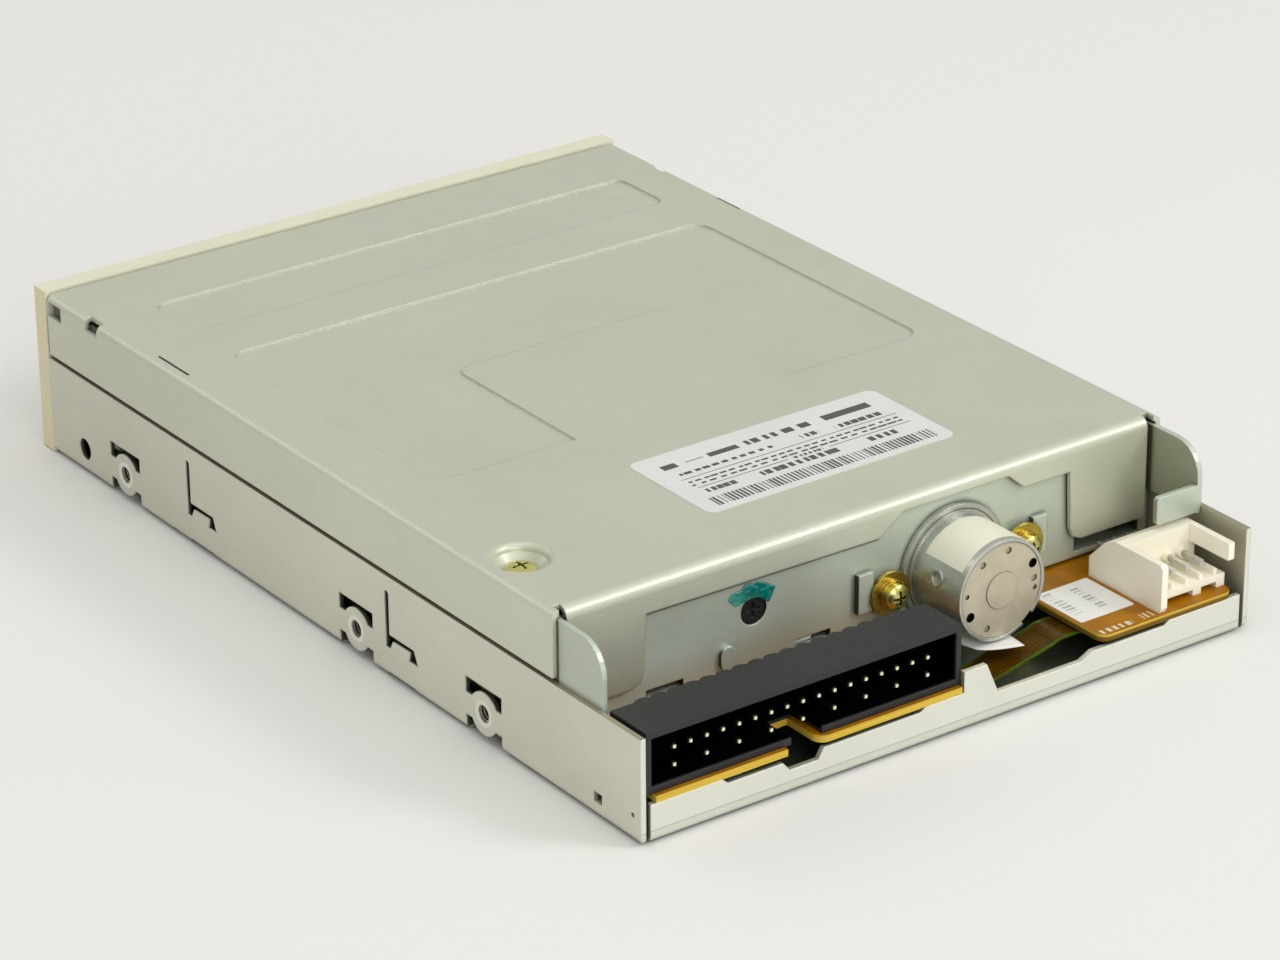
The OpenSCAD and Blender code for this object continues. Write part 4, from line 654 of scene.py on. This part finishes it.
def brown_board(name):
    """Phenolic board: amber lacquer over copper above, green below, bare yellow laminate at the edges, with
    painted shade on the laminate edges past the motor's axis towards −X.
    """
    material, tree, shader = start_material(name)
    mottle = use_group(tree, MOTTLE, Cloud_Scale=90, Grain_Scale=1500)
    lands = put(tree, "ShaderNodeTexVoronoi", Vector=object_place(tree), Scale=190, distance="CHEBYCHEV",
                Randomness=0.7)
    copper = spread(tree, lands.outputs["Distance"], 0.28, 0.4)
    resist = blend_colour(tree, mottle["Cloud"], linear(150, 94, 4), linear(170, 112, 9))
    covered = blend_colour(tree, mottle["Cloud"], linear(158, 102, 6), linear(180, 122, 14))
    under = blend_colour(tree, mottle["Cloud"], linear(34, 84, 30), linear(52, 108, 42))
    facing = facing_by_axis(tree)
    flat = spread(tree, maths(tree, "ABSOLUTE", facing["Z"]), 0.3, 0.6)
    stacked = object_place(tree, (0.05, 0.05, 6))
    layers = put(tree, "ShaderNodeTexNoise", Vector=stacked, Scale=900, Detail=2)
    laminate = blend_colour(tree, layers.outputs["Fac"], linear(188, 150, 34), linear(232, 200, 86))
    place = place_by_axis(tree)
    # Painted shade on the laminate edges towards −X, below the top
    shaded_edge = times(tree, spread(tree, place["X"], *EDGE_SHADE_ACROSS, 0, 0.85),
                  spread(tree, place["Z"], *EDGE_SHADE_DOWN))
    laminate = blend_colour(tree, shaded_edge, laminate, linear(84, 56, 10))
    face = blend_colour(tree, copper, resist, covered)
    marks = print_mask(tree, STICKER_MIDDLE, math.pi, BOARD_ROWS)
    face = blend_colour(tree, times(tree, marks, 0.8), face, linear(236, 226, 196))
    face = blend_colour(tree, spread(tree, facing["Z"], -0.3, -0.6), face, under)
    set_colour(tree, shader, blend_colour(tree, flat, laminate, face))
    tree.links.new(spread(tree, flat, 0, 1, 0.7, 0.38), shader.inputs["Roughness"])
    shader.inputs["Specular IOR Level"].default_value = 0.15
    height = maths(tree, "ADD", times(tree, mottle["Grain"], 0.1), copper)
    add_bump(tree, shader, height, distance=0.006 * MM, strength=0.5)
    return material


def green_board(name):
    """Steel-backed motor board with green lacquer."""
    material, tree, shader = start_material(name)
    mottle = use_group(tree, MOTTLE, Cloud_Scale=80, Grain_Scale=1800)
    tracks = put(tree, "ShaderNodeTexWave", Vector=object_place(tree), Scale=95, Distortion=3, Detail=1)
    colour = blend_colour(tree, mottle["Cloud"], linear(26, 74, 44), linear(40, 98, 58))
    copper = spread(tree, tracks.outputs["Fac"], 0.75, 0.8, 0, 0.5)
    set_colour(tree, shader, blend_colour(tree, copper, colour, linear(78, 134, 78)))
    set_roughness(tree, shader, mottle["Grain"], base=0.25, amount=0.15)
    add_bump(tree, shader, tracks.outputs["Fac"], distance=0.015 * MM, strength=0.5)
    return material


def flex_film(name, turn):
    """Amber film with copper tracks along its length and green lacquer at its edges."""
    material, tree, shader = start_material(name)
    mottle = use_group(tree, MOTTLE, Cloud_Scale=120, Grain_Scale=1800)
    tracks = put(tree, "ShaderNodeTexWave", Vector=object_place(tree, turn=turn), Scale=430,
                 bands_direction="Y")
    colour = blend_colour(tree, mottle["Cloud"], linear(70, 46, 0), linear(98, 66, 3))
    copper = spread(tree, tracks.outputs["Fac"], 0.4, 0.7, 0, 0.55)
    colour = blend_colour(tree, copper, colour, linear(44, 28, 0))
    edge = use_group(tree, SOFT_EDGE, Radius=0.9 * MM, Break_Up=300)
    colour = blend_colour(tree, times(tree, edge["Edge"], 0.9), colour, linear(70, 132, 36))
    set_colour(tree, shader, colour)
    set_roughness(tree, shader, mottle["Grain"], base=0.2, amount=0.15)
    shader.inputs["Specular IOR Level"].default_value = 0.15
    add_bump(tree, shader, tracks.outputs["Fac"], distance=0.02 * MM, strength=0.4)
    return material


def copper_winding(name):
    """Enamelled wire laid side by side."""
    material, tree, shader = start_material(name)
    wires = put(tree, "ShaderNodeTexWave", Vector=object_place(tree), Scale=900, bands_direction="Z",
                Distortion=0.6)
    mottle = use_group(tree, MOTTLE, Cloud_Scale=200, Grain_Scale=2500)
    colour = blend_colour(tree, wires.outputs["Fac"], linear(110, 52, 24), linear(206, 122, 70))
    colour = blend_colour(tree, times(tree, mottle["Cloud"], 0.4), colour, linear(160, 78, 36))
    set_colour(tree, shader, colour)
    set_roughness(tree, shader, mottle["Grain"], base=0.22, amount=0.12)
    shader.inputs["Metallic"].default_value = 0.7
    add_bump(tree, shader, wires.outputs["Fac"], distance=0.06 * MM, strength=0.8)
    return material


def lamp_plastic(name):
    """Clear green lens."""
    material, tree, shader = start_material(name)
    mottle = use_group(tree, MOTTLE, Cloud_Scale=300, Grain_Scale=2500)
    colour = blend_colour(tree, mottle["Cloud"], linear(96, 168, 84), linear(140, 204, 120))
    set_colour(tree, shader, colour)
    set_roughness(tree, shader, mottle["Grain"], base=0.08, amount=0.08)
    shader.inputs["Transmission Weight"].default_value = 0.6
    return material


def label_stock(name, pale, dark, middle=None, turn=0, rows=(), blocks=(), ink=None, strength=0):
    """Coated paper with faint fibres and a slight sheen, printed with plain bars where it has ink."""
    material, tree, shader = start_material(name)
    mottle = use_group(tree, MOTTLE, Cloud_Scale=110, Grain_Scale=2600)
    slanted = object_place(tree, (1, 0.2, 1), turn=0.6)
    fibres = put(tree, "ShaderNodeTexNoise", Vector=slanted, Scale=2200, Detail=2)
    share = times(tree, maths(tree, "ADD", mottle["Cloud"], fibres.outputs["Fac"]), 0.5)
    colour = blend_colour(tree, share, pale, dark)
    if ink:
        printed = print_mask(tree, middle, turn, rows, blocks)
        colour = blend_colour(tree, times(tree, printed, strength), colour, ink)
    set_colour(tree, shader, colour)
    set_roughness(tree, shader, mottle["Grain"], base=0.42, amount=0.15)
    add_bump(tree, shader, fibres.outputs["Fac"], distance=0.004 * MM, strength=0.5)
    return material


LACQUER_THINS = (WALL_SCREW.x + 0.6 * MM, WALL_SCREW.x + 3.8 * MM)


def lacquer(name):
    """Teal locking lacquer, thick over the screw and thinning out along the wall."""
    material, tree, shader = start_material(name)
    mottle = use_group(tree, MOTTLE, Cloud_Scale=420, Grain_Scale=1800)
    thin = spread(tree, place_by_axis(tree)["X"], *LACQUER_THINS)
    thick = blend_colour(tree, mottle["Cloud"], linear(0, 92, 90), linear(8, 146, 132))
    wash = blend_colour(tree, mottle["Cloud"], linear(48, 162, 148), linear(112, 194, 180))
    set_colour(tree, shader, blend_colour(tree, thin, thick, wash))
    set_roughness(tree, shader, mottle["Grain"], base=0.05, amount=0.06)
    shader.inputs["Coat Weight"].default_value = 0.8
    waves = put(tree, "ShaderNodeTexNoise", Vector=object_place(tree), Scale=650, Detail=1)
    add_bump(tree, shader, waves.outputs["Fac"], distance=1.2 * MM, strength=0.9)
    return material


VENT_ANGLES = (math.radians(155), math.radians(334))
VENT_R = 5.85 * MM
VENTS = [CAN_AXIS + VENT_R * Vector((math.cos(a), 0, math.sin(a))) for a in VENT_ANGLES]
FLANGE_STEP = CAN_R + 0.62 * MM
SOCKET_LOW = header_low + Vector((0.6, -1, 0.5)) * MM
SOCKET_HIGH = header_high - Vector((0.6, 0.4, 0.8)) * MM
LABEL_LOW = Vector((-24.1 * MM, PANEL_BACK + 98.4 * MM))
LABEL_HIGH = Vector((17.6 * MM, PANEL_BACK + 117.2 * MM))
WHITE_STOCK = (linear(246, 246, 243), linear(236, 235, 230))

GALVANISED = sheet_steel(
    "galvanised_sheet", linear(215, 218, 197), linear(207, 210, 189), edge_colour=linear(240, 241, 230),
    metallic=0.5, roughness=0.48, edge_glint=0.35, painted_tones=[front_shade(0.17)])
GALVANISED_BASE = sheet_steel(
    "galvanised_base", linear(223, 222, 205), linear(211, 210, 192), edge_colour=linear(246, 247, 240),
    metallic=0.5, roughness=0.45, edge_glint=0.45, rings=[place for _, place in MOUNTS if place.x > 0],
    painted_tones=[inward_shade, hidden_shade, under_board_shade, front_shade(0.19), rim_shade, lip_light, lip_crease_shade])
PLATED = sheet_steel(
    "plated_sheet", linear(208, 219, 203), linear(197, 207, 191), edge_colour=linear(232, 236, 226),
    metallic=0.45, roughness=0.46, gap=PLATED_GAP,
    painted_tones=[low_wall_light, flange_shade, ear_side_shade, ear_seam_shade, inward_shade, hidden_shade])
BRIGHT = plain_metal("bright_steel", linear(208, 208, 205), linear(197, 197, 194), roughness=0.3)
CAN_STEEL = plain_metal("can_steel", linear(206, 208, 198), linear(182, 185, 175), roughness=0.3,
                        radius=0.3 * MM, metallic=0.75, holes=VENTS, step=FLANGE_STEP)
CAP_NICKEL = plain_metal("cap_nickel", linear(212, 204, 182), linear(194, 184, 160), roughness=0.42,
                         cloud=220, metallic=0.5, holes=VENTS, gap=CAP_GAP)
THREAD = plain_metal("thread_steel", linear(158, 156, 140), linear(92, 90, 80), roughness=0.22)
BRASS = plain_metal("turned_brass", linear(214, 178, 96), linear(178, 138, 66), roughness=0.3)
FERRITE = plain_metal("dark_ferrite", linear(84, 84, 88), linear(56, 56, 60), roughness=0.55)
GOLD = contact_pin("contact_gold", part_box("data_pins")[1].y, linear(255, 250, 212), linear(10, 8, 5),
                   reach=0.26 * MM)
TINNED = contact_pin("tinned_contact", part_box("power_pins")[1].y, linear(206, 203, 194),
                     linear(120, 116, 104), reach=6 * MM)
IVORY = moulded_plastic("ivory_plastic", linear(232, 231, 207), linear(224, 221, 191), roughness=0.5,
                        side_shade=linear(220, 211, 170))
BLACK = moulded_plastic("black_plastic", linear(40, 40, 41), linear(27, 27, 28), roughness=0.46)
SOCKET = moulded_plastic("socket_plastic", linear(38, 38, 39), linear(28, 28, 29), roughness=0.46,
                         cavity=(SOCKET_LOW, SOCKET_HIGH))
NYLON = moulded_plastic("white_nylon", linear(252, 248, 233), linear(245, 238, 214), roughness=0.4,
                        grain_depth=0.005 * MM)
ZINC = yellow_zinc("yellow_zinc", linear(238, 233, 160), linear(200, 192, 92), linear(254, 252, 214))
# Darker copy of the yellow zinc: painted shade for the washers under the screw heads
ZINC_SHADED = yellow_zinc("shaded_zinc", linear(224, 201, 98), linear(176, 150, 58), linear(246, 230, 160))
PAPER = label_stock("label_paper", *WHITE_STOCK)
CREAM_PAPER = label_stock("cream_paper", linear(245, 243, 224), linear(234, 231, 208))
STICKER_PAPER = label_stock("sticker_paper", *WHITE_STOCK, STICKER_MIDDLE, math.pi / 2, STICKER_ROWS,
                            ink=linear(120, 122, 134), strength=0.6)
COVER_PAPER = label_stock("printed_label", linear(228, 232, 227), linear(217, 221, 215),
                          (LABEL_LOW + LABEL_HIGH) / 2, 0, LABEL_ROWS, LABEL_BLOCKS,
                          ink=linear(44, 45, 44), strength=0.92)

FINISHES = [
    (GALVANISED, ["top_cover"]),
    (GALVANISED_BASE, ["base_frame"]),
    (PLATED, ["chassis"]),
    (CAN_STEEL, ["stepper_can"]),
    (CAP_NICKEL, ["stepper_cap"]),
    (BRIGHT, ["door_spring", "eject_slider", "slider_springs", "disk_holder", "holder_pins",
              "lever_spring", "rotor_cup", "spindle_shaft", "hub_plate", "lead_screw", "guide_rods",
              "screw_needle", "arm_pivot"]),
    (IVORY, ["bezel", "slot_door", "eject_button"]),
    (BLACK, ["shutter_lever", "carriage", "head_arm", "track_sensor", "switch_block_left",
             "switch_block_right", "board_chips", "wall_screw"]),
    (SOCKET, ["data_header"]),
    (NYLON, ["drive_pin", "screw_bearing", "protect_plunger", "disk_plunger", "density_plunger",
             "power_header"]),
    (lamp_plastic("lamp_plastic"), ["lamp_lens", "indicator_lamp"]),
    (ZINC, ["cover_screw", "motor_screws", "chassis_screws"]),
    (ZINC_SHADED, ["motor_washers"]),
    (BRASS, ["lever_pivot", "spindle_bush"]),
    (GOLD, ["data_pins"]),
    (TINNED, ["power_pins"]),
    (copper_winding("copper_winding"), ["stator_coils"]),
    (FERRITE, ["stator_core", "rotor_magnet", "stepper_rotor", "lower_head", "upper_head"]),
    (brown_board("brown_board"), ["main_board"]),
    (green_board("green_board"), ["motor_board"]),
    (flex_film("head_film", math.pi / 2), ["head_cable"]),
    (flex_film("motor_film", 0), ["motor_cable"]),
]
for finish, names in FINISHES:
    for name in names:
        nodes[name].data.materials.clear()
        nodes[name].data.materials.append(finish)


# New pieces

def link_mesh(name, shape, material):
    """Turns a bmesh into an object of the scene."""
    mesh = bpy.data.meshes.new(name)
    shape.to_mesh(mesh)
    shape.free()
    mesh.materials.append(material)
    piece = bpy.data.objects.new(name, mesh)
    bpy.context.scene.collection.objects.link(piece)
    return piece


def keep_piece(name, shape, material, smooth=False):
    """Turns a bmesh into a piece that rides on the case."""
    bmesh.ops.recalc_face_normals(shape, faces=shape.faces)
    piece = link_mesh(name, shape, material)
    if smooth:
        piece.data.shade_smooth()
    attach(piece, "base")
    return piece


def verts_of(geometry):
    return [item for item in geometry if isinstance(item, bmesh.types.BMVert)]


def whole(shape):
    return shape.faces[:] + shape.edges[:] + shape.verts[:]


def flat_sheet(low, high, z, thickness, corner):
    """Sheet with rounded corners lying on Z."""
    shape = bmesh.new()
    middle = (low + high) / 2
    bmesh.ops.create_grid(shape, x_segments=1, y_segments=1, size=0.5)
    bmesh.ops.scale(shape, vec=(high.x - low.x, high.y - low.y, 1), verts=shape.verts)
    bmesh.ops.translate(shape, vec=(middle.x, middle.y, z), verts=shape.verts)
    bmesh.ops.bevel(shape, geom=shape.verts, offset=corner, offset_type="OFFSET", affect="VERTICES",
                    segments=6, profile=0.5, material=-1)
    raised = bmesh.ops.extrude_face_region(shape, geom=shape.faces)["geom"]
    bmesh.ops.translate(shape, vec=(0, 0, thickness), verts=verts_of(raised))
    return shape


LABEL_T = 0.08 * MM
LABEL_CORNER = 1.4 * MM
STICKER_CORNER = 0.3 * MM
keep_piece("cover_label", flat_sheet(LABEL_LOW, LABEL_HIGH, COVER_TOP, LABEL_T, LABEL_CORNER),
           COVER_PAPER)
keep_piece("board_sticker", flat_sheet(STICKER_LOW, STICKER_HIGH, BOARD_TOP, LABEL_T, STICKER_CORNER),
           STICKER_PAPER)

BAND_START = math.radians(33)
BAND_END = math.radians(176)
BAND_STEPS = 32
BAND_FRONT = REAR_WALL + 2.4 * MM
BAND_BACK = can_high.y - 1.0 * MM


def motor_band():
    """Strip of label round the motor can, between two angles counted up from its +X side."""
    shape = bmesh.new()
    inner, outer = CAN_R, CAN_R + LABEL_T
    corners = ((inner, BAND_FRONT), (inner, BAND_BACK), (outer, BAND_BACK), (outer, BAND_FRONT))
    shape.faces.new([shape.verts.new((CAN_AXIS.x + radius, y, CAN_AXIS.z)) for radius, y in corners])
    bmesh.ops.rotate(shape, verts=shape.verts, cent=CAN_AXIS, matrix=Matrix.Rotation(-BAND_START, 3, "Y"))
    bmesh.ops.spin(shape, geom=whole(shape), cent=CAN_AXIS, axis=(0, -1, 0), angle=BAND_END - BAND_START,
                   steps=BAND_STEPS, use_merge=False, dvec=(0, 0, 0))
    return shape


keep_piece("motor_label", motor_band(), CREAM_PAPER)

TAIL_RIGHT = CAN_AXIS.x + 4.5 * MM
TAIL_LEFT = CAN_AXIS.x - 2.0 * MM
TAIL_FRONT = can_high.y - 5 * MM
TAIL_TOP = CAN_AXIS.z - CAN_R - 0.14 * MM
TAIL_SHORT = 2.6 * MM
TAIL_GROWTH = 5.0 * MM
TAIL_CURVE = 0.36
TAIL_DROOP = 0.35 * MM


def paper_tail():
    """Loose end of the motor's label, lying out from under the can with a slanted edge."""
    shape = bmesh.new()
    bmesh.ops.create_grid(shape, x_segments=10, y_segments=10, size=0.5)
    for vert in shape.verts:
        side = vert.co.x + 0.5
        out = vert.co.y + 0.5
        reach = TAIL_SHORT + TAIL_GROWTH * side ** TAIL_CURVE
        vert.co = (TAIL_RIGHT + (TAIL_LEFT - TAIL_RIGHT) * side, TAIL_FRONT + reach * out,
                   TAIL_TOP - TAIL_DROOP * out * out)
    return shape


tail = keep_piece("label_tail", paper_tail(), PAPER, smooth=True)
thickness = tail.modifiers.new("thickness", "SOLIDIFY")
thickness.thickness = LABEL_T
thickness.offset = -1

# Outline of the lacquer as offsets from the wall screw's middle, in millimetres
LACQUER_EDGE = [(4.3, 2.6), (3.6, 3.4), (2.2, 3.5), (1.5, 4.2), (-0.6, 3.9), (-2.4, 3.4), (-3.6, 2.5),
                (-3.0, 1.4), (-2.5, 0.4), (-1.5, 1.4), (-0.1, 1.8), (1.2, 1.6), (2.7, 1.3), (3.6, 1.9)]
LACQUER_JITTER = 0.11
LACQUER_SINK = 0.03 * MM
LACQUER_RISE = 0.12 * MM
LACQUER_INSET = 0.25 * MM
LACQUER_ROUNDING = 3


def lacquer_run():
    """Lacquer brushed over the upper edge of the wall screw."""
    shape = bmesh.new()
    uneven = random.Random(7)
    edge = []
    for (x, z), (next_x, next_z) in zip(LACQUER_EDGE, LACQUER_EDGE[1:] + LACQUER_EDGE[:1]):
        for share in (0, 0.5):
            across = x + (next_x - x) * share + uneven.uniform(-LACQUER_JITTER, LACQUER_JITTER)
            up = z + (next_z - z) * share + uneven.uniform(-LACQUER_JITTER, LACQUER_JITTER)
            edge.append(shape.verts.new((WALL_SCREW.x + across * MM, REAR_WALL - LACQUER_SINK,
                                         WALL_SCREW.z + up * MM)))
    face = shape.faces.new(edge)
    face.normal_update()
    if face.normal.y < 0:
        face.normal_flip()
    raised = bmesh.ops.extrude_face_region(shape, geom=[face])["geom"]
    top = [item for item in raised if isinstance(item, bmesh.types.BMFace)]
    bmesh.ops.translate(shape, vec=(0, LACQUER_RISE, 0), verts=verts_of(raised))
    bmesh.ops.inset_region(shape, faces=top, thickness=LACQUER_INSET, depth=LACQUER_RISE,
                           use_even_offset=True)
    return shape


drop = keep_piece("screw_lacquer", lacquer_run(), lacquer("locking_lacquer"), smooth=True)
rounding = drop.modifiers.new("rounding", "SUBSURF")
rounding.levels = rounding.render_levels = LACQUER_ROUNDING

THREAD_ROOT = MOUNT_R + 0.02 * MM
THREAD_CREST = MOUNT_R - 0.2 * MM
THREAD_PROFILE = ((0.1 * MM, THREAD_ROOT), (0.3 * MM, THREAD_CREST), (0.5 * MM, THREAD_ROOT))
THREAD_PITCH = 0.5 * MM
THREAD_TURNS = 4
THREAD_STEPS = 18


def thread_ridge(place, side):
    """Helical thread ridge inside a mounting hole."""
    shape = bmesh.new()
    shape.faces.new([shape.verts.new(place + Vector((-side * x, 0, r))) for x, r in THREAD_PROFILE])
    bmesh.ops.spin(shape, geom=whole(shape), cent=place, axis=(side, 0, 0),
                   angle=2 * math.pi * THREAD_TURNS, steps=THREAD_TURNS * THREAD_STEPS,
                   dvec=(-side * THREAD_PITCH / THREAD_STEPS, 0, 0), use_merge=False)
    return shape


for name, place in MOUNTS:
    side = 1 if place.x > 0 else -1
    keep_piece(name + "_thread", thread_ridge(place, side), THREAD)


# Copies of the springs and the head cable, in place of the CAD pieces, which are hidden

def flexing_piece(name, node):
    """Copy of a CAD piece; the CAD piece itself is hidden."""
    shape = bmesh.new()
    shape.from_mesh(nodes[node].data)
    piece = link_mesh(name, shape, nodes[node].data.materials[0])
    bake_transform(piece)
    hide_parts(node)


flexing_piece("door_spring_coil", "door_spring")
flexing_piece("slider_spring_coils", "slider_springs")
flexing_piece("lever_spring_coil", "lever_spring")
flexing_piece("head_cable_strip", "head_cable")


# Stage, light and camera

FLOOR_HALF = 4
FLOOR_GAP = 0.2 * MM
SKY_LOW = (0.8, 0.8, 0.79, 1)
SKY_HIGH = (1, 1, 0.985, 1)
SKY_STRENGTH = 0.6
LIGHT_COLOUR = (1, 0.995, 0.98)
SENSOR_WIDTH = 36
FAR_CLIP = 20

# Soft boxes: name, place, size in metres and power in watts
SOFT_BOXES = [
    ("key", (-0.9, 1.0, 1.05), 0.5, 7.4),
    ("overhead", (0.1, 0.25, 1.3), 1.2, 3.3),
    ("side_bend_light", (0.5, -0.88, 0.64), 0.45, 0.8),
    ("rear_fill", (0.35, 1.45, 0.6), 0.8, 5.5),
]


def pale_floor():
    shape = bmesh.new()
    bmesh.ops.create_grid(shape, x_segments=1, y_segments=1, size=FLOOR_HALF)
    material, _, shader = start_material("pale_floor")
    shader.inputs["Base Color"].default_value = linear(238, 237, 234)
    shader.inputs["Roughness"].default_value = 0.85
    shader.inputs["Specular IOR Level"].default_value = 0.1
    floor = link_mesh("floor", shape, material)
    floor.location.z = cad_box[0].z - FLOOR_GAP


def soft_world():
    world = bpy.data.worlds.new("studio")
    bpy.context.scene.world = world
    world.use_nodes = True
    tree = world.node_tree
    background = tree.nodes["Background"]
    coordinates = tree.nodes.new("ShaderNodeTexCoord")
    split = put(tree, "ShaderNodeSeparateXYZ", Vector=coordinates.outputs["Generated"])
    share = spread(tree, split.outputs["Z"], 0.0, 0.9)
    tree.links.new(blend_colour(tree, share, SKY_LOW, SKY_HIGH), background.inputs["Color"])
    background.inputs["Strength"].default_value = SKY_STRENGTH


def soft_box(name, place, size, power):
    light = bpy.data.lights.new(name, "AREA")
    light.shape = "SQUARE"
    light.size = size
    light.energy = power
    light.color = LIGHT_COLOUR
    lamp = bpy.data.objects.new(name, light)
    lamp.location = place
    lamp.rotation_euler = (-Vector(place)).to_track_quat("-Z", "Y").to_euler()
    bpy.context.scene.collection.objects.link(lamp)


def photo_camera():
    data = bpy.data.cameras.new("camera")
    data.lens = CAMERA_LENS
    data.sensor_width = SENSOR_WIDTH
    data.clip_end = FAR_CLIP
    camera = bpy.data.objects.new("camera", data)
    level = math.cos(CAMERA_ELEVATION)
    back = Vector((math.sin(CAMERA_AZIMUTH) * level, -math.cos(CAMERA_AZIMUTH) * level,
                   math.sin(CAMERA_ELEVATION)))
    turn = (-back).to_track_quat("-Z", "Y").to_matrix().to_4x4() @ Matrix.Rotation(CAMERA_ROLL, 4, "Z")
    camera.matrix_world = Matrix.Translation(CAMERA_AT) @ turn
    bpy.context.scene.collection.objects.link(camera)
    bpy.context.scene.camera = camera


pale_floor()
soft_world()
for box in SOFT_BOXES:
    soft_box(*box)
photo_camera()
bpy.context.scene.view_settings.view_transform = "Standard"

bpy.context.view_layer.update()
